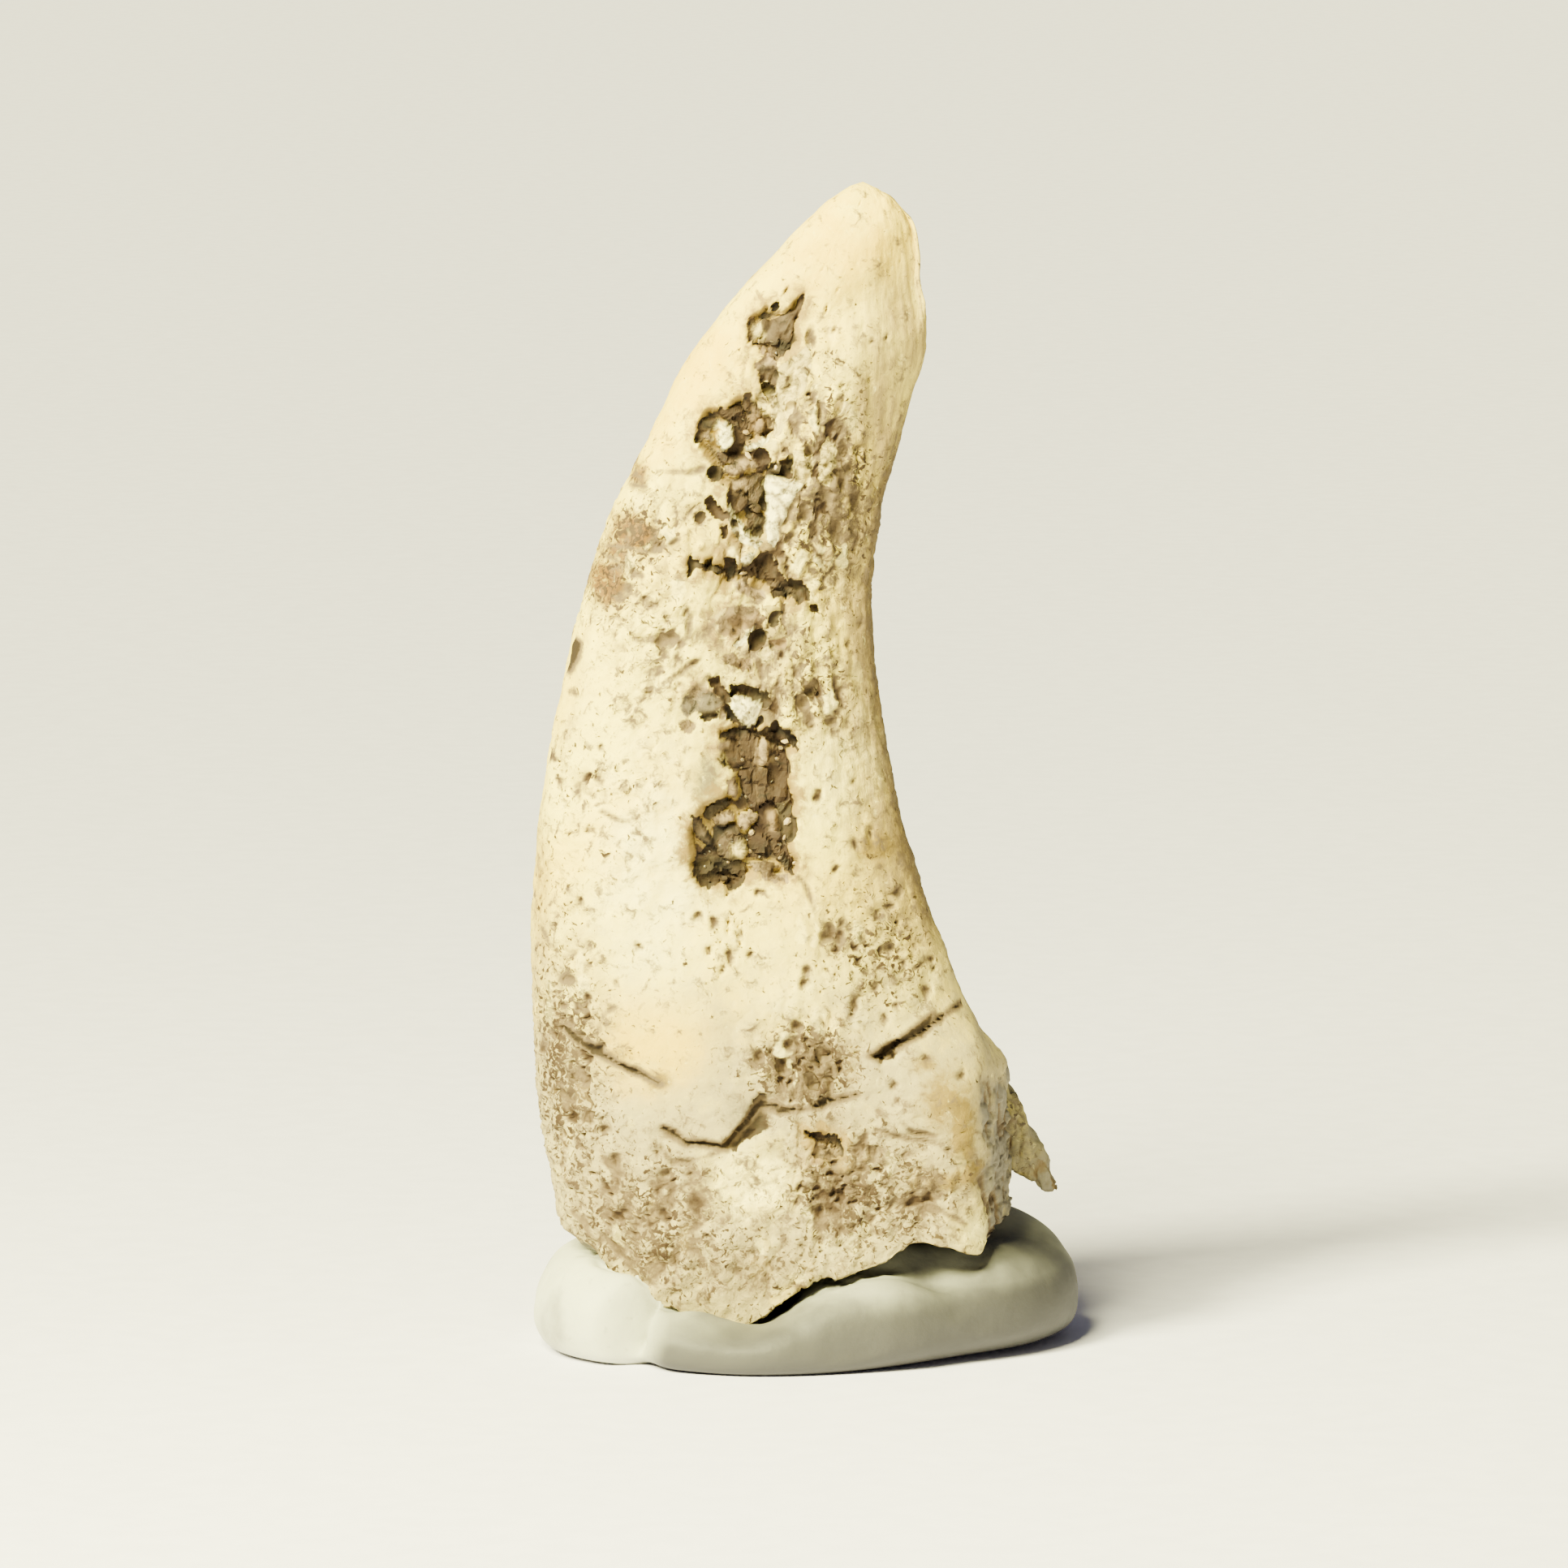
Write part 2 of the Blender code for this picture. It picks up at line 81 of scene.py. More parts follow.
GROOVE_LINE = (
    (10.0, 0.2), (14.0, -1.6), (18.0, -1.9), (22.0, -2.0), (24.5, -1.7), (28.0, -1.6),
    (32.0, -0.8), (34.0, 0.6),
)
GROOVE_NEAR, GROOVE_FAR = (0.3, 1.7), (0.45, 0.9)
GROOVE_FADE = (11.0, 15.0, 31.0, 34.0)
LEDGE_X, LEDGE_Z, LEDGE_RISE = (-1.5, -0.9), (24.6, 25.8, 31.4, 32.6), 0.22
BROKEN_RIM_NEAR = (
    (-8.5, 4.6), (-7.5, 4.1), (-6.88, 3.7), (-6.3, 3.15), (-5.68, 2.57), (-5.1, 2.0), (-4.0, 1.9),
    (-3.38, 1.54), (-2.5, 1.26), (-1.65, 1.54), (-0.85, 2.17), (0.15, 2.87), (1.3, 3.05),
    (2.33, 3.45), (3.33, 4.04), (4.5, 3.81), (5.25, 3.58), (5.63, 3.96), (6.6, 4.0),
)
BROKEN_RIM_FAR_LOW, BROKEN_RIM_FAR_RISE = 2.1, 0.045
RIM_SIDE_BLEND = (-2.2, 2.6)
BASE_HOLLOW_CENTRE, BASE_HOLLOW_RADIUS = (3.2, -0.1), 2.75
BASE_HOLLOW_DEPTH, BASE_HOLLOW_EDGE = 2.4, (0.0, 0.75)
LOWEST_ROW, RIM_BLEND_TOP, TIP_ROWS_START = 2.0, 7.5, 34.4
SURFACE_GRAIN = ((0.35, 0.10), (1.1, 0.05))

# The skin is laid in level rows, and in columns that are closer on the near side. They are
# spaced along a fine trace of the section.
BODY_ROWS, TIP_ROWS, COLUMNS, CAP_RINGS = 372, 26, 224, 18
TRACE_POINTS, RIM_PASSES = 1441, 4
FAR_SHARE, NEAR_SHARE, GROOVE_SHARE, GROOVE_BAND = 0.38, 0.8, 0.7, 2.2
claw_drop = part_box("claw")[1].z / MM - TIP[2]


def along(table, at):
    """Values of a table at places along it, on a smooth curve through its points."""
    places, values = np.array(table, float).T
    slopes = np.empty(len(places))
    slopes[1:-1] = (values[2:] - values[:-2]) / (places[2:] - places[:-2])
    slopes[0] = (values[1] - values[0]) / (places[1] - places[0])
    slopes[-1] = (values[-1] - values[-2]) / (places[-1] - places[-2])
    at = np.clip(at, places[0], places[-1])
    i = np.clip(np.searchsorted(places, at, side="right") - 1, 0, len(places) - 2)
    span = places[i + 1] - places[i]
    t = (at - places[i]) / span
    rise = 3 * t**2 - 2 * t**3
    bend = slopes[i] * (t**3 - 2 * t**2 + t) + slopes[i + 1] * (t**3 - t**2)
    return values[i] * (1 - rise) + values[i + 1] * rise + span * bend


def ease(low, high, value):
    """0 below low, 1 above high, and a smooth step between them."""
    t = np.clip((value - low) / (high - low), 0.0, 1.0)
    return t * t * (3 - 2 * t)


def section(angle, z):
    """X and Y of the claw's skin, and how far round it is from the edges to the flat sides."""
    round_share = ease(*BOXY_FADE, z)
    inner_power = BOXY_POWER + (ROUND_POWER - BOXY_POWER) * round_share
    exponent = np.where(np.cos(angle) > 0, inner_power, ROUND_POWER)
    across = np.sign(np.cos(angle)) * np.abs(np.cos(angle)) ** exponent
    through = np.sign(np.sin(angle)) * np.abs(np.sin(angle)) ** exponent
    back = along(BACK_EDGE, z)
    inner = along(INNER_EDGE_NEAR, z) + along(FAR_FLARE, z) * ease(*FLARE_BLEND, through)
    x = (back + inner) / 2 + (inner - back) / 2 * across
    y = along(HALF_THICKNESS, z) * (1 - INNER_THINNING * across * round_share) * through
    depth = np.where(through > 0, GROOVE_FAR[0], GROOVE_NEAR[0])
    width = np.where(through > 0, GROOVE_FAR[1], GROOVE_NEAR[1])
    groove = depth * np.exp(-(((x - along(GROOVE_LINE, z)) / width) ** 2))
    groove *= ease(*GROOVE_FADE[:2], z) * (1 - ease(*GROOVE_FADE[2:], z))
    ledge = LEDGE_RISE * ease(*LEDGE_X, x) * (through < 0)
    ledge *= ease(*LEDGE_Z[:2], z) * (1 - ease(*LEDGE_Z[2:], z))
    return x, y - through * (groove - ledge), through


def broken_rim(x, y):
    """The height of the broken lower edge at a place seen from above."""
    far = BROKEN_RIM_FAR_LOW + BROKEN_RIM_FAR_RISE * (x + 1.0) ** 2
    share = ease(*RIM_SIDE_BLEND, y)
    return along(BROKEN_RIM_NEAR, x) * (1 - share) + far * share


def column_angles(z):
    """Angles round the section at a height, in even steps along it, from the back edge."""
    fine = np.linspace(math.pi, 3 * math.pi, TRACE_POINTS)
    x, y, through = section(fine, np.full(fine.shape, z))
    band = GROOVE_SHARE * np.exp(-(((x - along(GROOVE_LINE, z)) / GROOVE_BAND) ** 2))
    share = np.where(through < 0.3, NEAR_SHARE + band, FAR_SHARE)[1:]
    travelled = np.concatenate([[0.0], np.cumsum(np.hypot(np.diff(x), np.diff(y)) * share)])
    return np.interp(np.arange(COLUMNS) / COLUMNS * travelled[-1], travelled, fine)


def fine_noise(points, per_mm, shift=0.0):
    """A smooth noise from -1 to 1 at each point, with the given number of bumps in a mm."""
    offset = Vector((shift, shift, shift))
    return np.array([noise.noise(Vector(p) * per_mm + offset) for p in points])


rows = np.linspace(LOWEST_ROW, TIP_ROWS_START, BODY_ROWS)
tip_steps = np.sin(np.arange(1, TIP_ROWS + 1) / TIP_ROWS * math.pi / 2)
rows = np.concatenate([rows, TIP_ROWS_START + (BACK_EDGE[-1][0] - TIP_ROWS_START) * tip_steps])
angles = np.array([column_angles(z) for z in rows])
level = np.repeat(rows[:, None], COLUMNS, axis=1)
skin_z = level
for _ in range(RIM_PASSES):
    skin_x, skin_y, through = section(angles, skin_z)
    share = (level - LOWEST_ROW) / (RIM_BLEND_TOP - LOWEST_ROW)
    rim = broken_rim(skin_x, skin_y)
    skin_z = np.where(share < 1, rim + (RIM_BLEND_TOP - rim) * share, level)

# The cap closes the broken end: rings that shrink to its middle, with the joint's hollow in it.
middle_x, middle_y = skin_x[0].mean(), skin_y[0].mean()
shares = np.arange(CAP_RINGS - 1, 0, -1)[:, None] / CAP_RINGS
cap_x = middle_x + (skin_x[0] - middle_x) * shares
cap_y = middle_y + (skin_y[0] - middle_y) * shares
reach = np.hypot(cap_x - BASE_HOLLOW_CENTRE[0], cap_y - BASE_HOLLOW_CENTRE[1])
reach /= BASE_HOLLOW_RADIUS
cap_z = broken_rim(cap_x, cap_y) + BASE_HOLLOW_DEPTH * ease(*BASE_HOLLOW_EDGE, 1 - reach**2)


# Weather has opened holes in the near side, lifted flakes off it and cracked it. Each hole is an
# outline with its depth and how red its mineral is, each flake an outline with its rise, and each
# crack a line of points with its half width there.
HOLES = (
    (0.4, 0.3, ((-1.75, 32.4), (-1.27, 32.67), (-0.75, 32.52), (-0.28, 33.03), (-0.1, 32.8),
        (-0.3, 32.19), (-0.15, 31.56), (-0.62, 31.13), (-1.23, 31.31), (-1.73, 31.66),
        (-1.6, 32.04))),
    (0.5, 0.35, ((-3.45, 28.93), (-3.12, 29.56), (-2.5, 29.69), (-2.02, 29.97), (-1.62, 29.56),
        (-1.23, 29.31), (-1.3, 28.68), (-1.73, 28.3), (-1.35, 27.85), (-0.72, 28.05),
        (-0.55, 27.54), (-1.27, 27.29), (-1.27, 26.28), (-1.6, 25.57), (-2.25, 25.62),
        (-2.4, 26.28), (-2.23, 27.04), (-2.77, 27.37), (-2.9, 27.92), (-3.33, 28.3))),
    (0.4, 0.3, ((-3.67, 24.85), (-2.88, 25.05), (-2.38, 24.69), (-1.62, 25.1), (-1.1, 24.49),
        (-0.07, 23.91), (-0.47, 23.61), (-1.25, 23.86), (-1.75, 24.24), (-2.38, 24.11),
        (-3.12, 24.47))),
    (0.55, 1.0, ((-2.8, 19.75), (-2.02, 20.05), (-1.18, 19.67), (-0.35, 19.45), (-0.53, 18.56),
        (-0.28, 17.55), (-0.45, 16.54), (-0.23, 15.48), (-0.88, 15.03), (-1.57, 15.41),
        (-2.25, 14.85), (-3.15, 14.95), (-3.65, 15.66), (-3.7, 16.79), (-3.27, 17.55),
        (-2.6, 17.78), (-2.23, 18.56), (-2.58, 19.19))),
    (0.45, 0.4, ((-0.12, 7.35), (0.45, 7.58), (1.15, 7.18), (1.05, 6.7), (0.4, 6.92))),
)
HOLE_WALL = 0.14
CLEFTS = (
    (0.45, ((3.88, 10.93), (3.58, 10.73), (3.17, 10.48), (2.73, 10.21), (2.23, 10.03),
        (1.85, 9.81), (2.17, 9.71), (2.52, 9.88), (2.83, 10.11), (3.23, 10.31), (3.62, 10.58))),
    (0.35, ((-7.28, 22.45), (-7.0, 22.3), (-7.1, 21.8), (-7.36, 21.4))),
)
FLAKES = (
    (0.12, ((0.2, 16.9), (0.9, 17.2), (1.6, 16.9), (1.3, 16.2), (0.4, 16.1))),
    (0.2, ((-3.4, 6.75), (-2.4, 6.8), (-1.7, 7.2), (-1.15, 7.9), (-0.6, 8.1), (0.9, 8.35),
        (0.5, 7.8), (-0.3, 7.3), (-0.2, 5.9), (-0.9, 5.2), (-2.2, 5.2), (-3.0, 5.9))),
)


def linear(hex_colour):
    """The linear colour of an sRGB hex value."""
    parts = [int(hex_colour[i:i + 2], 16) / 255 for i in (1, 3, 5)]
    return (*(p / 12.92 if p <= 0.04045 else ((p + 0.055) / 1.055) ** 2.4 for p in parts), 1.0)


# Chips of mineral and bone make up the floors of the holes, and white ones stand proud of the
# skin. Each has how deep its face lies, its colour and its outline. Those that lie shallowest are
# stains with soft edges.
MINERAL_DARK, MINERAL_BROWN, MINERAL_RED = "#1c150d", "#35271a", "#2f2118"
MINERAL_OLIVE, MINERAL_GREY, MINERAL_TAN = "#32291b", "#4c3f30", "#786245"
CHIP_PINK, CHIP_PALE, CHIP_WHITE = "#8c7758", "#c9b56c", "#e8dca0"
STAIN_PINK, STAIN_VIOLET = "#786547", "#635947"
CHIPS = (
    (0.26, MINERAL_TAN, ((-1.8, 32.32), (-1.6, 32.37), (-1.52, 32.05), (-1.68, 31.64),
        (-1.85, 31.72))),
    (0.3, MINERAL_BROWN, ((-1.52, 32.05), (-1.07, 32.22), (-0.72, 32.45), (-0.4, 32.52),
        (-0.45, 32.02), (-0.53, 31.52), (-1, 31.47), (-1.38, 31.57))),
    (0.22, MINERAL_GREY, ((-1.32, 31.82), (-1.05, 32.15), (-0.72, 32.35), (-0.53, 32.25),
        (-0.57, 31.97), (-1, 31.72))),
    (0.12, CHIP_PALE, ((-1.6, 31.97), (-1.43, 32), (-1.4, 31.74), (-1.57, 31.69))),
    (0.5, MINERAL_DARK, ((-1.85, 31.64), (-1.48, 31.57), (-1.12, 31.42), (-0.82, 31.54),
        (-0.47, 31.49), (-0.55, 31.32), (-0.8, 31.14), (-1.02, 31.32), (-1.48, 31.44))),
    (0.3, MINERAL_DARK, ((-1.1, 32.65), (-0.95, 32.78), (-0.85, 32.62), (-0.93, 32.47),
        (-1.07, 32.5))),
    (0.2, MINERAL_BROWN, ((-0.45, 32.45), (-0.33, 32.78), (-0.17, 33.05), (-0.1, 32.95),
        (-0.23, 32.57), (-0.35, 32.32))),
    (0.1, MINERAL_TAN, ((-1.52, 31.42), (-1.18, 31.34), (-0.88, 31.12), (-0.95, 31.02),
        (-1.27, 31.09), (-1.48, 31.24))),
    (0.16, CHIP_PINK, ((-1.65, 30.87), (-1.32, 31.09), (-0.97, 30.92), (-0.9, 30.74),
        (-1.27, 30.79), (-1.55, 30.72))),
    (0.3, MINERAL_GREY, ((-1.52, 30.72), (-1.27, 30.79), (-0.93, 30.72), (-1, 30.49),
        (-1.2, 30.37), (-1.43, 30.49))),
    (0.45, MINERAL_OLIVE, ((-1.48, 30.42), (-1.2, 30.27), (-1.1, 30.17), (-1.12, 29.74),
        (-1.3, 30.02))),
    (0.45, MINERAL_OLIVE, ((-3.48, 28.54), (-3.4, 28.86), (-3.25, 29.17), (-3, 29.29),
        (-2.7, 29.24), (-2.77, 28.94), (-3.12, 28.79), (-3.27, 28.51))),
    (0.15, CHIP_PINK, ((-3.2, 28.69), (-3.05, 28.84), (-2.9, 28.76), (-2.92, 28.56),
        (-3.12, 28.54))),
    (0.1, CHIP_WHITE, ((-2.73, 29.12), (-2.5, 29.19), (-2.23, 28.94), (-2.17, 28.61),
        (-2.33, 28.29), (-2.62, 28.24), (-2.85, 28.49), (-2.77, 28.81))),
    (0.5, MINERAL_BROWN, ((-2.7, 29.74), (-2.55, 29.62), (-2.17, 29.54), (-1.9, 29.32),
        (-1.82, 28.81), (-1.9, 28.31), (-2.25, 28.11), (-2.48, 28.21), (-2.17, 28.59),
        (-2.25, 29.02), (-2.55, 29.27))),
    (0.4, MINERAL_BROWN, ((-1.95, 30.02), (-1.77, 30.07), (-1.48, 29.62), (-1.2, 29.32),
        (-1.2, 28.74), (-1.55, 28.66), (-1.82, 28.81), (-1.9, 29.37))),
    (0.15, MINERAL_TAN, ((-1.8, 29.34), (-1.6, 29.47), (-1.45, 29.32), (-1.62, 29.19))),
    (0.2, MINERAL_TAN, ((-1.7, 29.02), (-1.43, 29.19), (-1.27, 28.97), (-1.45, 28.76),
        (-1.65, 28.84))),
    (0.12, CHIP_PALE, ((-1.6, 30.12), (-1.48, 30.14), (-1.23, 29.77), (-1.25, 29.44),
        (-1.43, 29.64))),
    (-0.08, CHIP_WHITE, ((-1.9, 28.34), (-1.62, 28.51), (-1.18, 28.71), (-1.12, 28.61),
        (-1.38, 28.39), (-1.7, 28.24), (-1.88, 28.26))),
    (0.42, MINERAL_RED, ((-2.83, 28.26), (-2.25, 28.11), (-1.77, 28.19), (-1.38, 28.31),
        (-1.12, 28.06), (-1.27, 27.69), (-1.77, 27.71), (-2.25, 27.86), (-2.62, 27.86))),
    (0.6, MINERAL_DARK, ((-1.3, 27.51), (-1.1, 27.91), (-0.82, 27.96), (-0.5, 28.06),
        (-0.5, 27.49), (-0.93, 27.41))),
    (0.35, MINERAL_OLIVE, ((-1.12, 27.89), (-0.75, 27.96), (-0.53, 27.86), (-0.57, 27.71),
        (-1, 27.69))),
    (0.2, CHIP_PINK, ((-2.55, 27.76), (-2.23, 27.84), (-1.85, 27.86), (-1.73, 27.76), (-2, 27.56),
        (-2.27, 27.49), (-2.5, 27.54))),
    (0.45, MINERAL_OLIVE, ((-3.08, 27.66), (-2.88, 27.81), (-2.62, 27.76), (-2.52, 27.56),
        (-2.7, 27.34), (-2.95, 27.39))),
    (0.45, MINERAL_BROWN, ((-2.4, 27.26), (-2.02, 27.51), (-1.75, 27.41), (-1.85, 27.01),
        (-1.93, 26.61), (-2.25, 26.29), (-2.42, 26.66))),
    (0.3, MINERAL_GREY, ((-1.75, 27.44), (-1.45, 27.54), (-1.35, 27.31), (-1.4, 26.76),
        (-1.48, 26.46), (-1.7, 26.39), (-1.88, 26.66), (-1.85, 27.16))),
    (0.6, MINERAL_DARK, ((-1.35, 27.41), (-1.25, 27.46), (-1.27, 26.31), (-1.45, 26.46),
        (-1.38, 26.86))),
    (0.5, MINERAL_OLIVE, ((-1.93, 26.29), (-1.5, 26.39), (-1.3, 26.19), (-1.38, 25.71),
        (-1.65, 25.58), (-1.85, 25.88))),
    (0.15, CHIP_PINK, ((-2.27, 27.21), (-2.02, 27.26), (-1.98, 27.14), (-2.2, 27.06))),
    (-0.06, CHIP_WHITE, ((-2.48, 26.51), (-2.35, 26.64), (-2.27, 26.34), (-2.08, 26.29),
        (-1.93, 25.93), (-1.73, 25.61), (-1.38, 25.48), (-1.55, 25.26), (-1.98, 25.46),
        (-2.27, 25.81), (-2.45, 26.16))),
    (0.25, MINERAL_OLIVE, ((-2.33, 26.11), (-2.17, 26.16), (-2.15, 26.01), (-2.27, 25.96))),
    (0.3, MINERAL_BROWN, ((-3.15, 26.76), (-2.92, 26.91), (-2.8, 26.61), (-2.6, 26.44),
        (-2.42, 26.29), (-2.6, 26.16), (-2.85, 26.31), (-3, 26.54))),
    (0.28, MINERAL_BROWN, ((-2.7, 25.93), (-2.5, 26.04), (-2.4, 25.78), (-2.58, 25.63))),
    (0.2, MINERAL_OLIVE, ((-3.35, 26.31), (-3.17, 26.39), (-3.17, 26.11), (-3.33, 26.14))),
    (-0.2, CHIP_WHITE, ((-1.27, 27.46), (-0.93, 27.39), (-0.47, 27.39), (-0.12, 27.24),
        (-0.28, 26.99), (-0.53, 26.66), (-0.68, 26.26), (-0.85, 25.88), (-0.9, 25.51),
        (-1.05, 25.28), (-1.27, 25.51), (-1.3, 26.31))),
    (-0.16, CHIP_PALE, ((-0.8, 30.94), (-0.42, 31.19), (-0.07, 31.47), (0.12, 31.62),
        (0.07, 30.77), (-0.12, 30.17), (-0.47, 29.82), (-0.62, 29.27), (-0.82, 28.86),
        (-1.07, 28.69), (-1.15, 29.07), (-1.1, 29.92), (-1.07, 30.42))),
    (-0.16, CHIP_PALE, ((-0.47, 28.26), (-0.12, 28.31), (0.15, 28.16), (0.17, 27.56),
        (0.03, 27.21), (-0.33, 27.36), (-0.5, 27.66))),
    (-0.16, CHIP_PALE, ((0.42, 28.31), (0.68, 28.66), (0.88, 28.31), (0.85, 27.56), (0.62, 27.16),
        (0.4, 27.36), (0.33, 27.81))),
    (-0.14, CHIP_PALE, ((0.72, 29.69), (1.02, 29.87), (1.3, 29.67), (1.25, 29.39), (0.97, 29.42),
        (0.75, 29.52))),
    (0.3, MINERAL_OLIVE, ((-3.62, 25.06), (-3.42, 25.01), (-3.17, 24.78), (-2.67, 24.66),
        (-2.62, 24.48), (-3.17, 24.61), (-3.5, 24.66), (-3.67, 24.46))),
    (0.6, MINERAL_DARK, ((-2.48, 24.96), (-2.17, 25.01), (-2.15, 24.66), (-2.23, 24.26),
        (-2.45, 24.26), (-2.55, 24.61))),
    (-0.1, CHIP_WHITE, ((-2.05, 25.03), (-1.82, 25.13), (-1.57, 25.18), (-1.75, 24.91),
        (-1.93, 24.73), (-2.02, 24.81))),
    (0.42, MINERAL_BROWN, ((-2.1, 24.66), (-1.75, 24.81), (-1.43, 25.16), (-1.18, 25.01),
        (-0.93, 24.71), (-0.68, 24.21), (-0.47, 23.86), (-1.07, 23.76), (-1.27, 24.26),
        (-1.62, 24.41), (-2, 24.26))),
    (0.55, MINERAL_DARK, ((-1.18, 23.98), (-0.88, 24.11), (-0.53, 24.21), (-0.42, 24.01),
        (-0.72, 23.86), (-1.07, 23.86))),
    (0.42, MINERAL_OLIVE, ((-0.55, 24.21), (-0.25, 24.26), (-0.03, 24.06), (0.03, 23.61),
        (-0.23, 23.58), (-0.47, 23.76))),
    (0.35, MINERAL_OLIVE, ((0.03, 23.51), (0.28, 23.46), (0.42, 23.26), (0.28, 23.21),
        (0.07, 23.33))),
    (0.02, CHIP_PINK, ((-2.25, 24.26), (-1.93, 24.33), (-1.73, 24.11), (-1.43, 24.13),
        (-1.25, 23.93), (-1.43, 23.68), (-1.88, 23.86), (-2.17, 23.96))),
    (0.06, STAIN_PINK, ((-2.77, 23.05), (-2.48, 23.51), (-2, 23.61), (-1.57, 23.51),
        (-1.43, 23.21), (-1.75, 22.9), (-2.25, 22.65), (-2.62, 22.65))),
    (0.14, MINERAL_TAN, ((-2.3, 23.16), (-1.93, 23.08), (-1.62, 23.16), (-1.25, 23.26),
        (-1.38, 22.95), (-1.52, 22.7), (-1.82, 22.85), (-2.38, 22.65), (-2.08, 22.9))),
    (0.4, MINERAL_OLIVE, ((-1.73, 22.55), (-1.48, 22.7), (-1.27, 22.65), (-1.38, 22.4),
        (-1.57, 22.28), (-1.73, 22.35))),
    (-0.14, CHIP_WHITE, ((-2.23, 22.38), (-1.93, 22.63), (-1.62, 22.83), (-1.65, 22.63),
        (-1.93, 22.43), (-2.15, 22.28))),
    (0.22, MINERAL_OLIVE, ((-1.12, 23.16), (-0.97, 23.36), (-0.8, 23.31), (-0.93, 23.16),
        (-0.88, 22.93), (-1.05, 22.9))),
    (0.22, MINERAL_TAN, ((-1.18, 22.5), (-0.97, 22.4), (-0.7, 22.58), (-0.68, 22.45),
        (-0.93, 22.28), (-1.15, 22.33))),
    (0.05, STAIN_PINK, ((-2.67, 22), (-2.25, 22.15), (-2.08, 21.93), (-1.73, 21.85),
        (-1.77, 21.5), (-2.12, 21.6), (-2.48, 21.75))),
    (0.2, MINERAL_TAN, ((-2.05, 21.75), (-1.82, 21.85), (-1.77, 21.6), (-1.98, 21.55))),
    (-0.1, CHIP_PALE, ((-1.57, 22.1), (-1.27, 22.3), (-0.97, 22.15), (-1.12, 21.9),
        (-1.38, 21.85))),
    (0.07, STAIN_VIOLET, ((-3.92, 20.5), (-3.8, 20.8), (-3.5, 20.93), (-3.27, 20.75),
        (-3.38, 20.4), (-3.67, 20.2))),
    (0.1, STAIN_PINK, ((-3.67, 21), (-3.42, 21.23), (-3.12, 21.25), (-3.02, 20.95),
        (-3.27, 20.75), (-3.5, 20.9))),
    (0.11, STAIN_VIOLET, ((-3.27, 20.75), (-3.02, 20.95), (-2.77, 20.8), (-2.48, 20.6),
        (-2.77, 20.3), (-3.17, 20.2), (-3.38, 20.4))),
    (0.12, CHIP_PALE, ((-3.23, 21.35), (-2.98, 21.5), (-2.83, 21.35), (-3.08, 21.23))),
    (0.14, CHIP_PINK, ((-2.77, 20.3), (-2.48, 20.55), (-2.33, 20.3), (-2.58, 20.1))),
    (0.06, STAIN_PINK, ((-3.92, 20.1), (-3.58, 20.15), (-3.38, 19.95), (-3.62, 19.75),
        (-3.92, 19.85))),
    (0.3, MINERAL_BROWN, ((-2.98, 21.3), (-2.73, 21.4), (-2.77, 21.1), (-2.48, 20.9),
        (-2.33, 20.6), (-2.58, 20.65), (-2.88, 20.95))),
    (0.32, MINERAL_OLIVE, ((-3.33, 20.2), (-3.02, 20.3), (-2.73, 20.3), (-2.77, 20.15),
        (-3.17, 20.05))),
    (0.4, MINERAL_OLIVE, ((-2.4, 21.15), (-2.08, 21.15), (-1.62, 20.9), (-1.32, 20.8),
        (-1.23, 20.95), (-1.2, 20.55), (-1.43, 20.45), (-1.75, 20.7), (-2.12, 20.9),
        (-2.38, 20.75))),
    (0.42, MINERAL_DARK, ((-2.52, 20.6), (-2.33, 20.35), (-2.02, 20.02), (-1.75, 19.87),
        (-1.43, 20.15), (-1.38, 20), (-1.68, 19.75), (-2.08, 19.85), (-2.38, 20.1))),
    (-0.22, CHIP_WHITE, ((-2.35, 20.75), (-2.05, 20.88), (-1.75, 20.68), (-1.43, 20.5),
        (-1.48, 20.2), (-1.75, 19.9), (-2.02, 20.05), (-2.33, 20.38))),
    (0.55, MINERAL_DARK, ((-2.77, 19.6), (-2.38, 19.77), (-1.77, 19.7), (-1.23, 19.8),
        (-0.97, 19.95), (-0.68, 19.7), (-0.33, 19.47), (-0.28, 19.12), (-0.53, 19.25),
        (-0.88, 19.5), (-1.23, 19.5), (-1.77, 19.45), (-2.33, 19.4))),
    (0.5, MINERAL_BROWN, ((-2.67, 19.35), (-2.25, 19.5), (-1.75, 19.5), (-1.43, 19.4),
        (-1.48, 18.67), (-1.82, 18.55), (-2.27, 18.45), (-2.62, 18.65))),
    (0.35, MINERAL_BROWN, ((-2.55, 19.05), (-2.3, 19.2), (-2.02, 19.05), (-1.98, 18.72),
        (-2.27, 18.55), (-2.52, 18.7))),
    (0.6, MINERAL_RED, ((-1.23, 19.5), (-0.82, 19.45), (-0.57, 19), (-0.55, 18.25), (-0.72, 17.7),
        (-1.12, 17.6), (-1.62, 17.4), (-1.93, 17.8), (-2.08, 18.35), (-1.75, 18.62),
        (-1.43, 18.7), (-1.23, 19.05))),
    (0.45, MINERAL_BROWN, ((-1.82, 18.3), (-1.43, 18.55), (-1.12, 18.35), (-1.07, 17.92),
        (-1.38, 17.67), (-1.73, 17.8))),
    (0.15, CHIP_PINK, ((-1.45, 19.4), (-1.3, 19.6), (-1.18, 19.3), (-1.2, 18.77), (-1.35, 18.65),
        (-1.5, 18.67))),
    (0.12, CHIP_PINK, ((-2.75, 19.35), (-2.58, 19.45), (-2.48, 19.3), (-2.67, 19.15))),
    (0.15, CHIP_PALE, ((-2.77, 18.95), (-2.65, 19.02), (-2.55, 18.65), (-2.67, 18.57))),
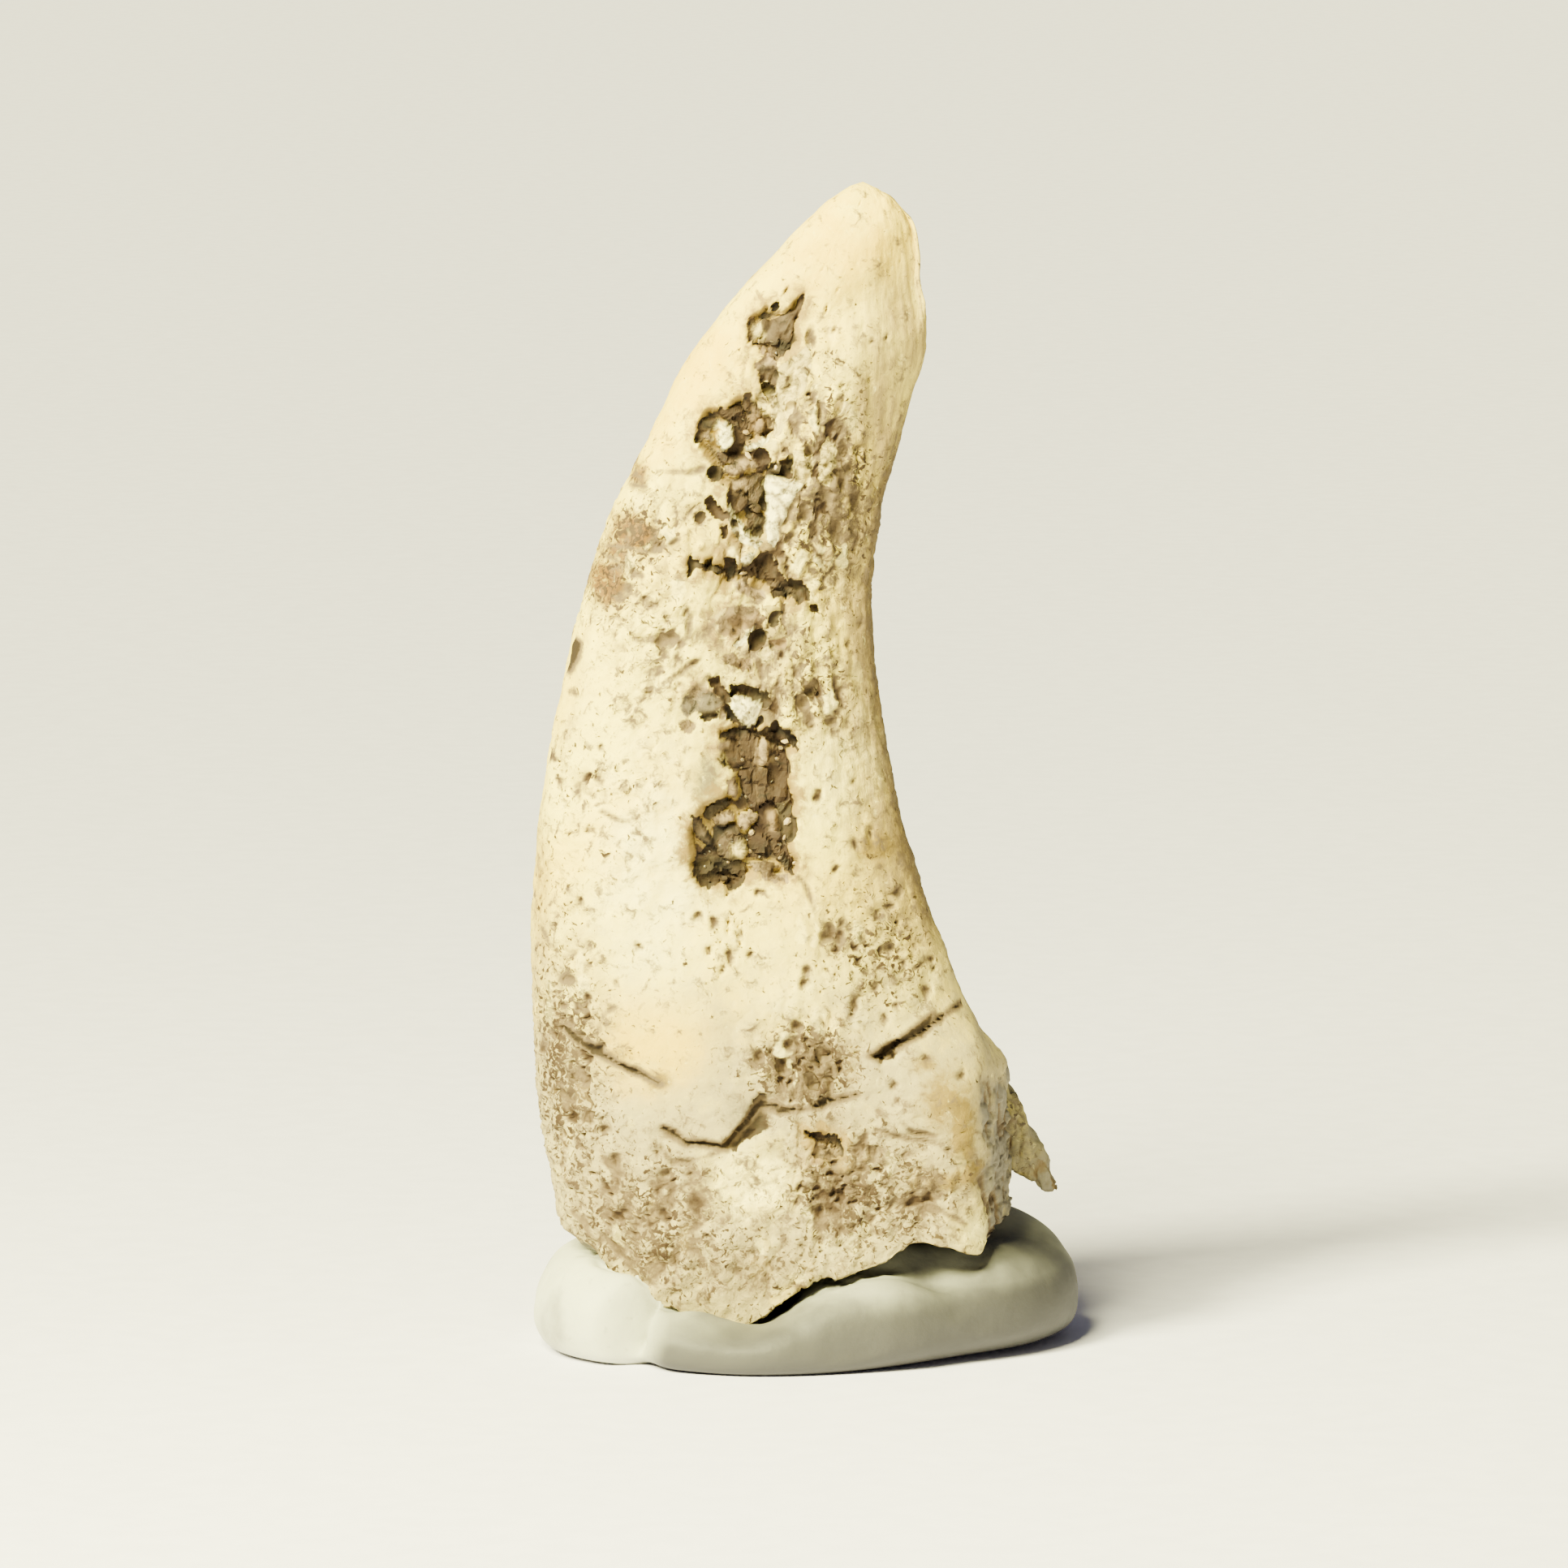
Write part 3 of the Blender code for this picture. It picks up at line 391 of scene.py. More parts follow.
    (0.16, CHIP_PINK, ((-2.48, 18.25), (-2.25, 18.32), (-2.17, 17.95), (-2.25, 17.67),
        (-2.45, 17.77))),
    (0.5, MINERAL_OLIVE, ((-3.23, 17.2), (-2.98, 17.52), (-2.67, 17.7), (-2.33, 17.55),
        (-2.62, 17.3), (-2.92, 17.02))),
    (0.15, CHIP_PINK, ((-2.9, 17.04), (-2.65, 17.22), (-2.35, 17.25), (-2.27, 17.02),
        (-2.55, 16.84), (-2.83, 16.82))),
    (0.28, MINERAL_GREY, ((-3.58, 17.22), (-3.33, 17.09), (-3.15, 16.79), (-2.9, 16.39),
        (-3.08, 16.27), (-3.35, 16.39), (-3.52, 16.79))),
    (0.6, MINERAL_DARK, ((-2.88, 16.77), (-2.48, 16.77), (-1.98, 16.84), (-2.17, 16.59),
        (-2.73, 16.29), (-3.1, 16.02), (-3.38, 15.94), (-3.23, 16.19), (-2.92, 16.37))),
    (0.18, CHIP_PINK, ((-2.1, 17.02), (-1.77, 17.25), (-1.55, 17.12), (-1.73, 16.84),
        (-1.93, 16.64), (-2.1, 16.77))),
    (0.5, MINERAL_RED, ((-1.57, 17.35), (-1.18, 17.5), (-0.93, 17.2), (-0.78, 16.54),
        (-0.97, 16.04), (-1.38, 15.79), (-1.77, 16.09), (-1.73, 16.64), (-1.52, 16.99))),
    (0.65, MINERAL_DARK, ((-1.77, 16.19), (-1.43, 16.04), (-1.07, 16.04), (-1.18, 15.79),
        (-1.52, 15.79), (-1.73, 15.94))),
    (0.2, MINERAL_TAN, ((-1.15, 17.09), (-1, 17.14), (-0.95, 16.79), (-1.1, 16.69))),
    (0.55, MINERAL_OLIVE, ((-0.88, 17.4), (-0.62, 17.45), (-0.4, 17.14), (-0.28, 16.74),
        (-0.38, 16.37), (-0.62, 16.32), (-0.8, 16.59))),
    (0.3, MINERAL_GREY, ((-2.77, 16.24), (-2.4, 16.54), (-2.05, 16.42), (-1.9, 16.04),
        (-2.08, 15.77), (-2.48, 15.79), (-2.75, 15.97))),
    (0.18, CHIP_PALE, ((-2.3, 16.14), (-2.1, 16.22), (-2.02, 15.97), (-2.23, 15.87))),
    (0.62, MINERAL_OLIVE, ((-3.55, 15.44), (-3.33, 15.79), (-3.02, 15.94), (-2.73, 15.79),
        (-2.23, 15.84), (-1.95, 15.64), (-1.9, 15.24), (-2.1, 14.94), (-2.35, 14.84),
        (-2.67, 15.09), (-3.02, 14.89), (-3.38, 15.09))),
    (0.75, MINERAL_DARK, ((-2.88, 15.64), (-2.58, 15.69), (-2.33, 15.49), (-2.23, 15.04),
        (-2.48, 14.99), (-2.62, 15.29), (-2.83, 15.34))),
    (0.5, MINERAL_DARK, ((-1.07, 16.22), (-0.88, 16.04), (-0.42, 15.39), (-0.53, 15.27),
        (-0.82, 15.64), (-1.12, 15.99))),
    (0.2, CHIP_PINK, ((-1.43, 15.44), (-1.07, 15.34), (-0.68, 15.29), (-0.57, 15.09),
        (-0.97, 15.07), (-1.38, 15.24))),
    (0.25, STAIN_PINK, ((-1.93, 15.64), (-1.52, 15.69), (-1.07, 15.59), (-0.82, 15.49),
        (-1.12, 15.39), (-1.62, 15.44))),
    (0.55, MINERAL_DARK, ((-0.12, 7.53), (0.23, 7.5), (0.68, 7.4), (1.02, 7.13), (1.07, 6.75),
        (0.9, 6.82), (0.72, 7.18), (0.23, 7.23))),
    (0.3, STAIN_PINK, ((0.23, 7.18), (0.68, 7.13), (0.88, 6.82), (0.62, 6.62), (0.28, 6.82))),
    (0.4, MINERAL_OLIVE, ((-2.48, 7.18), (-2.23, 7.5), (-1.9, 7.98), (-1.65, 8.46), (-1.43, 8.71),
        (-1.23, 8.51), (-1.12, 8.2), (-1.05, 8.05), (-1.23, 7.63), (-1.62, 7.38), (-2.02, 7.18),
        (-2.3, 6.92))),
    (0.55, MINERAL_DARK, ((-2.55, 7.23), (-2.17, 7.55), (-1.85, 8.08), (-1.6, 8.53),
        (-1.43, 8.71), (-1.48, 8.43), (-1.75, 7.88), (-2.02, 7.48), (-2.27, 7.18))),
    (0.5, MINERAL_OLIVE, ((-2.55, 7.28), (-2.12, 7.48), (-1.73, 7.58), (-1.52, 7.43),
        (-1.93, 7.23), (-2.25, 6.87), (-2.52, 6.98))),
    (0.7, MINERAL_BROWN, ((1.95, 9.78), (2.27, 10.01), (2.6, 10.16), (2.92, 10.31), (2.77, 10.01),
        (2.65, 9.58), (2.42, 9.71), (2.2, 9.58))),
)
CHIP_SEED, CHIP_LEAN, CHIP_BARE_ABOVE, CHIP_DEPTH_SHARE = 5, 0.25, 0.29, 0.8
STAIN_BELOW, STAIN_SOFTNESS = 0.15, 0.16
CRACKS = (
    (0.3, ((4.9, 11.1, 0.05), (4.2, 10.85, 0.05), (3.3, 10.3, 0.09), (2.2, 9.9, 0.1))),
    (0.22, ((-7.6, 10.6, 0.06), (-6.9, 10.1, 0.09), (-5.6, 9.45, 0.09), (-4.5, 8.95, 0.08))),
    (0.3, ((-4.4, 7.6, 0.05), (-3.7, 7.15, 0.07), (-2.5, 7.05, 0.09), (-1.3, 8.5, 0.09),
        (-0.9, 8.15, 0.06), (-0.1, 8.2, 0.06), (1.5, 8.65, 0.05))),
    (0.1, ((-0.3, 15.3, 0.05), (0.0, 14.9, 0.04), (0.2, 14.2, 0.03))),
    (0.1, ((-0.07, 24.26, 0.04), (0.5, 24.41, 0.03), (1, 24.56, 0.03), (1.43, 24.68, 0.03))),
    (0.12, ((2.1, 7.6, 0.05), (2.9, 7.3, 0.05), (3.9, 7.2, 0.04))),
    (0.1, ((3.7, 5.2, 0.04), (4.4, 4.9, 0.05), (4.8, 4.6, 0.03))),
    (0.1, ((-5.28, 22.58, 0.03), (-4.75, 22.53, 0.05), (-4.08, 22.53, 0.03))),
    (0.14, ((-6.47, 25.08, 0.03), (-5.88, 24.91, 0.04), (-5.47, 24.68, 0.06),
        (-5.08, 24.48, 0.03))),
    (0.1, ((-6.25, 25.28, 0.03), (-5.62, 25.38, 0.04), (-5, 25.21, 0.04), (-4.5, 25.36, 0.04),
        (-3.92, 25.63, 0.02))),
    (0.12, ((-6.33, 17.32, 0.03), (-5.88, 17.09, 0.05), (-5.42, 17.02, 0.03))),
    (0.12, ((-3.73, 23.68, 0.04), (-3.6, 23.26, 0.06), (-3.67, 22.6, 0.06), (-3.98, 22.28, 0.03))),
    (0.14, ((-4.38, 21.3, 0.04), (-3.88, 21.53, 0.05), (-3.33, 21.95, 0.03))),
    (0.1, ((-8.18, 13.54, 0.03), (-7.88, 12.99, 0.05), (-7.38, 12.64, 0.04), (-7.33, 12.29, 0.04),
        (-7.58, 11.99, 0.05), (-7.03, 11.99, 0.03))),
    (0.1, ((-6.42, 10.58, 0.03), (-6.28, 11.03, 0.04), (-5.95, 11.34, 0.03))),
    (0.14, ((-4.58, 7.08, 0.03), (-4.17, 6.52, 0.05), (-3.62, 6.57, 0.03), (-3.08, 6.77, 0.04),
        (-2.58, 6.95, 0.06))),
    (0.14, ((2.88, 7.83, 0.03), (3.25, 7.48, 0.05), (3.92, 7.33, 0.03))),
    (0.1, ((-7.28, 4.75, 0.03), (-6.88, 4.35, 0.04), (-6.42, 3.79, 0.03))),
    (0.1, ((-3.17, 27.76, 0.04), (-3.62, 27.61, 0.03), (-4.58, 27.66, 0.02))),
    (0.12, ((-5.33, 27.61, 0.06), (-5.12, 27.41, 0.05))),
    (0.14, ((-5.33, 27.16, 0.07), (-4.97, 27.14, 0.05))),
    (0.1, ((-4.88, 23.56, 0.03), (-4.67, 23.61, 0.05), (-4.47, 23.76, 0.03))),
    (0.06, ((-1.07, 27.31, 0.02), (-0.62, 27.11, 0.03), (-0.12, 26.86, 0.02))),
    (0.06, ((-1.12, 27.01, 0.02), (-0.75, 26.61, 0.03), (-0.42, 26.21, 0.02))),
    (0.06, ((-1.02, 26.61, 0.02), (-0.88, 26.26, 0.03), (-0.82, 25.81, 0.02))),
)
# The worn canals of the bone: where they open, and half width; the long ones also have a turn.
ROUND_PITS = (
    (-0.65, 33.15, 0.07), (-0.5, 29.67, 0.09), (0.05, 28.39, 0.1), (0.78, 32, 0.08),
    (2, 31.64, 0.08), (2.38, 31.64, 0.07), (1, 27.86, 0.12), (1.27, 27.71, 0.09),
    (1.6, 22.88, 0.1), (2.08, 21.1, 0.12), (0.1, 20.98, 0.12), (0.4, 20.53, 0.11),
    (-0.15, 20.53, 0.13), (0.78, 19.97, 0.1), (0.15, 19.75, 0.08), (-3.27, 26.21, 0.12),
    (-5.28, 24.56, 0.12), (-3.73, 23.41, 0.1), (-1.52, 22.5, 0.16), (-4.88, 20.9, 0.1),
    (-7.2, 20.8, 0.1), (-7.78, 18.77, 0.14), (-7.62, 18.07, 0.13), (-6.38, 18.22, 0.13),
    (-6.3, 19.25, 0.09), (-6.65, 16.72, 0.09), (-5.5, 15.62, 0.09), (-6.97, 14.52, 0.14),
    (-5.17, 13.16, 0.1), (-5.9, 12.09, 0.08), (-6.85, 11.23, 0.11), (-7.5, 11.16, 0.1),
    (-2.85, 13.94, 0.17), (-3.33, 14.09, 0.11), (-3.02, 13.26, 0.1), (-2.67, 12.54, 0.1),
    (-2.02, 13.56, 0.1), (-1.73, 12.91, 0.11), (-1.48, 14.74, 0.14), (0.3, 17.7, 0.15),
    (1.45, 18.07, 0.07), (1.52, 16.17, 0.13), (1.9, 16.49, 0.11), (0.85, 15.42, 0.11),
    (1.12, 13.86, 0.12), (0.68, 13.54, 0.17), (0.97, 13.41, 0.15), (-0.1, 12.41, 0.14),
    (-0.1, 12.09, 0.12), (2.75, 14.62, 0.15), (2.5, 14.16, 0.1), (2.92, 12.46, 0.15),
    (3.45, 12.34, 0.14), (3.73, 12.46, 0.12), (3.9, 12.14, 0.1), (2.02, 11.84, 0.11),
    (2.7, 11.18, 0.12), (2.35, 10.86, 0.12), (0.42, 10.86, 0.13), (-0.38, 10.76, 0.14),
    (-0.65, 10.18, 0.16), (-0.72, 9.51, 0.17), (-1.45, 9.78, 0.15), (0.42, 9.81, 0.18),
    (0.72, 9.41, 0.18), (0.65, 8.98, 0.17), (0.1, 9.01, 0.13), (-0.38, 8.78, 0.12),
    (3.67, 9.71, 0.13), (4.67, 9.11, 0.13), (2.62, 8.96, 0.1), (-7.35, 12.01, 0.15),
    (-7.05, 10.36, 0.14), (-8.15, 9.83, 0.16), (-7.17, 9.13, 0.11), (-6.7, 7.75, 0.14),
    (-6.2, 7.43, 0.13), (-4.6, 6.77, 0.13), (-4.4, 6.14, 0.14), (-7.55, 6.17, 0.11),
    (-0.12, 5.84, 0.17), (0.35, 6.12, 0.15), (0.3, 5.03, 0.2), (1.35, 4.65, 0.12),
    (2.25, 5.89, 0.13), (2, 6.8, 0.12), (4.35, 6.92, 0.09),
)
LONG_PITS = (
    (0.1, 31.72, 0.28, 4), (0.42, 29.47, 0.3, 5), (0.9, 29.69, 0.28, -12),
    (-0.6, 26.34, 0.42, -22), (-0.47, 25.51, 0.32, -3), (-0.03, 26.41, 0.26, -20),
    (0.62, 27.06, 0.26, 8), (0.85, 25.76, 0.3, 4), (1.43, 25.51, 0.36, 6), (1.12, 28.31, 0.3, 0),
    (1.07, 27.31, 0.3, 14), (1.38, 26.81, 0.34, 4), (0.38, 25.06, 0.2, 10),
    (-2.4, 12.96, 0.26, -4), (1.4, 11.34, 0.34, -8), (2.5, 12.94, 0.2, -20), (3.67, 11.54, 0.2, 3),
    (-7.5, 8.51, 0.36, 3), (-5.95, 6.47, 0.24, -4), (-4.08, 3.49, 0.24, 0),
    (-4.92, 23.81, 0.2, -60), (-4.42, 22.55, 0.5, -88),
)
PIT_DEPTH, PIT_LENGTH, LONG_PIT_HALF_WIDTH = 0.16, 1.2, 0.12
PIT_WANDER, PIT_WANDER_PER_MM = 0.16, 3.0
CRACK_BREAKS, CRACK_BREAKS_PER_MM, FAINT_BELOW, FAINTER = 0.09, 1.6, 0.15, 0.07
INNER_BEVEL, BEVEL_ACROSS, BEVEL_Z = 0.75, (0.66, 1.08), (9.5, 13.0, 33.0, 35.6)
TIP_RIDGE = ((31.0, 0.1), (32.8, 0.4), (34.6, 1.6), (36.2, 2.5))
TIP_FACET, TIP_FACET_WIDTH, TIP_FACET_Z = 0.26, 1.6, (31.6, 32.8)
SMOOTH_TIP_Z = (33.4, 34.4)


def outline_distance(outline, x, z):
    """How far each place is inside a closed outline, negative outside."""
    nearest, inside = np.full(x.shape, 9.0), np.zeros(x.shape, bool)
    for (x0, z0), (x1, z1) in zip(outline, outline[1:] + outline[:1]):
        run, rise = x1 - x0, z1 - z0
        t = np.clip(((x - x0) * run + (z - z0) * rise) / (run**2 + rise**2), 0.0, 1.0)
        nearest = np.minimum(nearest, np.hypot(x - x0 - t * run, z - z0 - t * rise))
        if rise:
            inside ^= ((z0 > z) != (z1 > z)) & (x < x0 + (z - z0) * run / rise)
    return np.where(inside, nearest, -nearest)


def crack_distance(line, x, z):
    """How far each place is inside a crack, negative outside it."""
    deepest = np.full(x.shape, -9.0)
    for (x0, z0, w0), (x1, z1, w1) in zip(line, line[1:]):
        run, rise = x1 - x0, z1 - z0
        t = np.clip(((x - x0) * run + (z - z0) * rise) / (run**2 + rise**2), 0.0, 1.0)
        away = np.hypot(x - x0 - t * run, z - z0 - t * rise)
        deepest = np.maximum(deepest, w0 + (w1 - w0) * t - away)
    return deepest


def pit_distance(x, z, at_x, at_z, half_width, half_length, turn):
    """How far each place is inside an oval pit, negative outside it."""
    c, s = math.cos(math.radians(turn)), math.sin(math.radians(turn))
    u = ((x - at_x) * c - (z - at_z) * s) / half_width
    v = ((x - at_x) * s + (z - at_z) * c) / half_length
    return half_width * (1 - np.hypot(u, v))


# The places on the skin, then on the cap, and how much each is on the near side. Outlines are
# jagged: places are shifted a little by noise before they are measured.
NEAR_SIDE = (0.12, 0.5)
WANDER = ((1.7, 0.07), (5.0, 0.05), (8.5, 0.03))
CLEFT_WANDER, CRACK_WANDER = 0.5, 0.6
body = np.stack([skin_x, skin_y, skin_z], axis=-1).reshape(-1, 3)
cap = np.stack([cap_x, cap_y, cap_z], axis=-1).reshape(-1, 3)
skin = np.concatenate([body, cap])
through = np.concatenate([through.ravel(), np.zeros(len(cap))])
on_cap = np.concatenate([np.zeros(len(body)), np.ones(len(cap))])
near = ease(*NEAR_SIDE, -through)
wander_x, wander_z = (sum(reach * fine_noise(skin, per_mm, shift) for per_mm, reach in WANDER)
                      for shift in (7.0, 53.0))
at_x, at_z = skin[:, 0] + wander_x, skin[:, 2] + wander_z

# How far inside a hole, crack or pit a place is, in mm, starts from well outside them all.
OUTSIDE = -2.0
FLAKE_EDGE, CHIP_EDGE, CLEFT_EDGE = (-0.02, 0.1), (-0.03, 0.05), (0.0, 0.2)
CRACK_EDGE, PIT_EDGE = (-0.06, 0.06), (-0.04, 0.07)
STAIN_PAINT_EDGE, PROUD_PAINT_EDGE, CHIP_PAINT_EDGE = (-0.2, 0.0), (-0.06, 0.0), (-0.05, 0.02)
carved, redness, chip = (np.zeros(len(skin)) for _ in range(3))
hollow, crack, pit = (np.full(len(skin), OUTSIDE) for _ in range(3))
for depth, red, outline in HOLES:
    inside = outline_distance(outline, at_x, at_z)
    carved = np.maximum(carved, depth * ease(0.0, HOLE_WALL, inside))
    redness = np.where(inside > hollow, red, redness)
    hollow = np.maximum(hollow, inside)
for rise, outline in FLAKES:
    carved -= rise * ease(*FLAKE_EDGE, outline_distance(outline, at_x, at_z))
lean = np.random.default_rng(CHIP_SEED).uniform(-CHIP_LEAN, CHIP_LEAN, (len(CHIPS), 2))
chip_colour = np.zeros((len(skin), 4))
for (depth, tint, outline), (lean_x, lean_z) in zip(CHIPS, lean):
    inside = outline_distance(outline, at_x, at_z)
    share = ease(*CHIP_EDGE, inside)
    chip_x, chip_z = np.mean(outline, axis=0)
    face = CHIP_DEPTH_SHARE * depth + lean_x * (at_x - chip_x) + lean_z * (at_z - chip_z)
    carved += (face - carved) * share
    tinted = ease(*(PROUD_PAINT_EDGE if depth < 0 else STAIN_PAINT_EDGE), inside)
    if depth < 0:
        tinted *= share > 0
    chip_colour += (linear(tint) - chip_colour) * tinted[:, None]
    soft = STAIN_SOFTNESS if 0 < depth < STAIN_BELOW else 0.0
    chip = np.maximum(chip, ease(CHIP_PAINT_EDGE[0] - soft, CHIP_PAINT_EDGE[1] + soft, inside))
    if depth < CHIP_BARE_ABOVE:
        hollow = np.minimum(hollow, -inside)
for depth, outline in CLEFTS:
    inside = outline_distance(outline, skin[:, 0] + wander_x * CLEFT_WANDER,
                              skin[:, 2] + wander_z * CLEFT_WANDER)
    carved = np.maximum(carved, depth * ease(*CLEFT_EDGE, inside))
    crack = np.maximum(crack, inside)
crack_noise = fine_noise(skin, CRACK_BREAKS_PER_MM, 91.0)
for depth, line in CRACKS:
    inside = crack_distance(line, skin[:, 0] + wander_x * CRACK_WANDER,
                            skin[:, 2] + wander_z * CRACK_WANDER)
    inside -= CRACK_BREAKS * (0.35 + crack_noise)
    carved = np.maximum(carved, depth * ease(*CRACK_EDGE, inside))
    crack = np.maximum(crack, inside - FAINTER * (depth < FAINT_BELOW))
pit_x, pit_z = (at + PIT_WANDER * fine_noise(skin, PIT_WANDER_PER_MM, shift)
                for at, shift in ((at_x, 17.0), (at_z, 29.0)))
ovals = [(x, z, radius, radius * PIT_LENGTH, 0) for x, z, radius in ROUND_PITS]
ovals += [(x, z, LONG_PIT_HALF_WIDTH, length, -turn) for x, z, length, turn in LONG_PITS]
for oval in ovals:
    pit = np.maximum(pit, pit_distance(pit_x, pit_z, *oval))
carved = np.maximum(carved, PIT_DEPTH * ease(*PIT_EDGE, pit))

height, back = skin[:, 2], along(BACK_EDGE, skin[:, 2])
across_share = (skin[:, 0] - back) / (along(INNER_EDGE_NEAR, height) - back)
bevel = INNER_BEVEL * ease(*BEVEL_ACROSS, across_share) * (through < 0)
bevel *= ease(*BEVEL_Z[:2], height) * (1 - ease(*BEVEL_Z[2:], height))
tip_facet = TIP_FACET * ease(0.0, TIP_FACET_WIDTH, skin[:, 0] - along(TIP_RIDGE, height))
tip_facet *= ease(*TIP_FACET_Z, height)
unevenness = sum(size * fine_noise(skin, per_mm) for per_mm, size in SURFACE_GRAIN)
unevenness *= 1 - ease(*SMOOTH_TIP_Z, height)
shape = skin.copy()
shape[:, 1] += (1 - on_cap) * unevenness + (carved + tip_facet) * near + bevel * -through


# Regions of the bone: where its canals lie open, where it is gritty, stained, bleached, flaking
# or broken to rubble. Each is a list of soft spots: place along X, height, half width, half
# height and strength.
OPEN_CANALS = (
    (0.9, 28, 1.0, 3.6, 0.8), (0.4, 20.7, 1.2, 1.5, 0.6), (-5.1, 26.2, 1.4, 1.4, 0.35),
    (-6.9, 18.3, 1.0, 1.2, 0.5), (-7.4, 9.2, 1.5, 4.4, 0.75), (-2.6, 13.7, 1.2, 1.5, 0.6),
    (1.7, 12.6, 2.4, 2.2, 0.6), (-0.1, 9.6, 1.7, 1.4, 1.0), (1.1, 5.9, 1.5, 1.8, 0.75),
    (-5.4, 4.8, 3.0, 2.4, 0.5), (3.2, 5.4, 1.4, 1.6, 0.5),
)
GRITTY = (
    (-4.5, 4.2, 4.0, 2.8, 0.9), (-7.6, 8.5, 1.5, 4.5, 0.8), (1.5, 5.4, 3.5, 2.4, 1.0),
    (-1.0, 3.0, 4.0, 1.8, 0.7), (0.0, 9.4, 1.6, 1.2, 1.2), (-0.6, 21.8, 2.0, 2.4, 0.7),
    (-5.2, 23.0, 1.8, 4.0, 0.6), (0.6, 26.5, 1.6, 3.2, 1.0), (-5.6, 18.0, 1.6, 4.0, 0.5),
    (1.6, 18.0, 1.2, 4.0, 0.4), (2.6, 13.0, 1.4, 2.4, 0.6), (-7.4, 16.0, 0.8, 3.0, 0.5),
)
TAN = (
    (2.9, 31.6, 1.9, 3.4, 0.85), (2.2, 28.5, 1.2, 3.4, 1.0), (1.8, 24.2, 1.0, 3.6, 1.0),
    (2.0, 21.0, 0.7, 3.0, 0.6), (2.9, 33.4, 0.9, 1.4, 0.6), (0.9, 26.5, 1.3, 3.0, 0.45),
    (-8.2, 13.0, 0.7, 6.0, 0.5), (-7.0, 21.0, 0.5, 2.5, 0.4), (1.4, 12.4, 2.0, 1.6, 0.4),
)
BLEACHED = (
    (-4.6, 15.5, 2.4, 4.6, 1.0), (0.9, 18.6, 1.9, 2.4, 0.7), (-4.9, 20.9, 1.8, 2.2, 0.35),
    (-1.6, 5.9, 1.5, 1.3, 1.0), (-1.2, 12.0, 2.6, 1.8, 0.5), (5.4, 4.4, 1.0, 0.8, 1.0),
    (-2.2, 23.0, 0.9, 1.4, 0.3), (0.2, 2.4, 1.2, 0.7, 0.7), (-0.8, 29.3, 0.6, 1.6, 0.5),
)
YELLOWED = (
    (-4.9, 10.2, 2.0, 1.8, 1.1), (-3.2, 31.0, 2.2, 3.0, 1.0), (1.0, 34.6, 2.6, 2.4, 1.0),
    (-6.9, 12.5, 1.2, 2.5, 0.3), (2.1, 17.0, 1.0, 1.6, 0.6), (-4.6, 28.6, 1.4, 2.2, 0.7),
    (-5.8, 21.6, 1.6, 2.0, 0.3),
)
OCHRE = (
    (4.75, 7.6, 0.45, 1.6, 1.0), (4.2, 8.4, 1.0, 1.2, 0.75), (5.0, 6.1, 0.6, 0.5, 1.0),
    (4.3, 5.9, 0.8, 0.35, 0.8), (3.62, 9.53, 0.6, 0.4, 0.6), (2.12, 15.99, 0.9, 0.6, 0.8),
    (-4.55, 9.03, 0.5, 0.35, 0.8), (-5.75, 9.78, 0.7, 0.4, 0.5), (0.1, 21.0, 0.4, 0.35, 1.0),
    (-3.5, 21.6, 0.4, 0.3, 0.5), (0.4, 28.2, 0.9, 0.5, 0.5), (1.0, 26.6, 0.6, 0.8, 0.4),
)
RUSTY = (
    (-5.3, 25.75, 0.95, 0.8, 1.2), (-5.9, 25.1, 0.8, 0.5, 0.9), (-6.15, 24.2, 0.75, 0.9, 1.2),
    (-5.2, 27.45, 0.35, 0.6, 0.9), (-4.7, 23.6, 0.8, 0.6, 0.4), (-7.2, 14.3, 0.6, 0.6, 0.5),
    (-7.0, 18.3, 0.6, 0.4, 0.5), (-8.2, 14.6, 0.45, 3.6, 0.5), (-7.8, 10.5, 0.6, 1.4, 0.45),
    (-7.6, 19.0, 0.3, 1.6, 0.4),
)
FLAKING = (
    (-4.4, 22.6, 1.8, 1.6, 1.0), (-5.4, 24.8, 1.4, 1.8, 0.8), (0.4, 20.6, 1.5, 1.2, 0.8),
    (-4.0, 28.0, 1.2, 1.2, 0.5), (-7.0, 18.0, 1.0, 1.2, 0.6), (-6.8, 12.0, 1.0, 1.6, 0.6),
    (-4.6, 6.0, 3.0, 2.4, 0.8), (2.0, 6.0, 2.6, 2.0, 0.8), (1.4, 13.0, 2.4, 2.0, 0.5),
)
RUBBLE = (
    (-0.9, 29.4, 1.1, 2.6, 0.8), (0.5, 27.2, 1.1, 3.4, 0.9), (-1.6, 25.0, 1.9, 1.2, 1.0),
    (-1.3, 22.6, 1.5, 1.6, 0.8), (-1.5, 20.3, 1.3, 1.3, 0.9), (-3.3, 20.9, 1.2, 0.9, 0.5),
    (0.3, 20.6, 1.2, 1.4, 0.7), (-1.0, 31.0, 0.8, 0.9, 0.8), (-4.0, 25.6, 1.6, 2.0, 0.5),
    (-5.2, 23.2, 1.5, 1.6, 0.25), (-0.1, 9.6, 1.6, 1.5, 0.8), (0.8, 6.3, 1.6, 1.8, 0.6),
    (-7.0, 9.8, 1.3, 3.4, 0.4), (-5.0, 4.4, 2.8, 2.2, 0.55), (3.6, 5.6, 1.5, 1.3, 0.5),
    (-1.6, 3.2, 2.4, 1.2, 0.5), (1.0, 13.6, 1.5, 1.2, 0.4), (3.0, 12.2, 1.3, 1.1, 0.35),
)
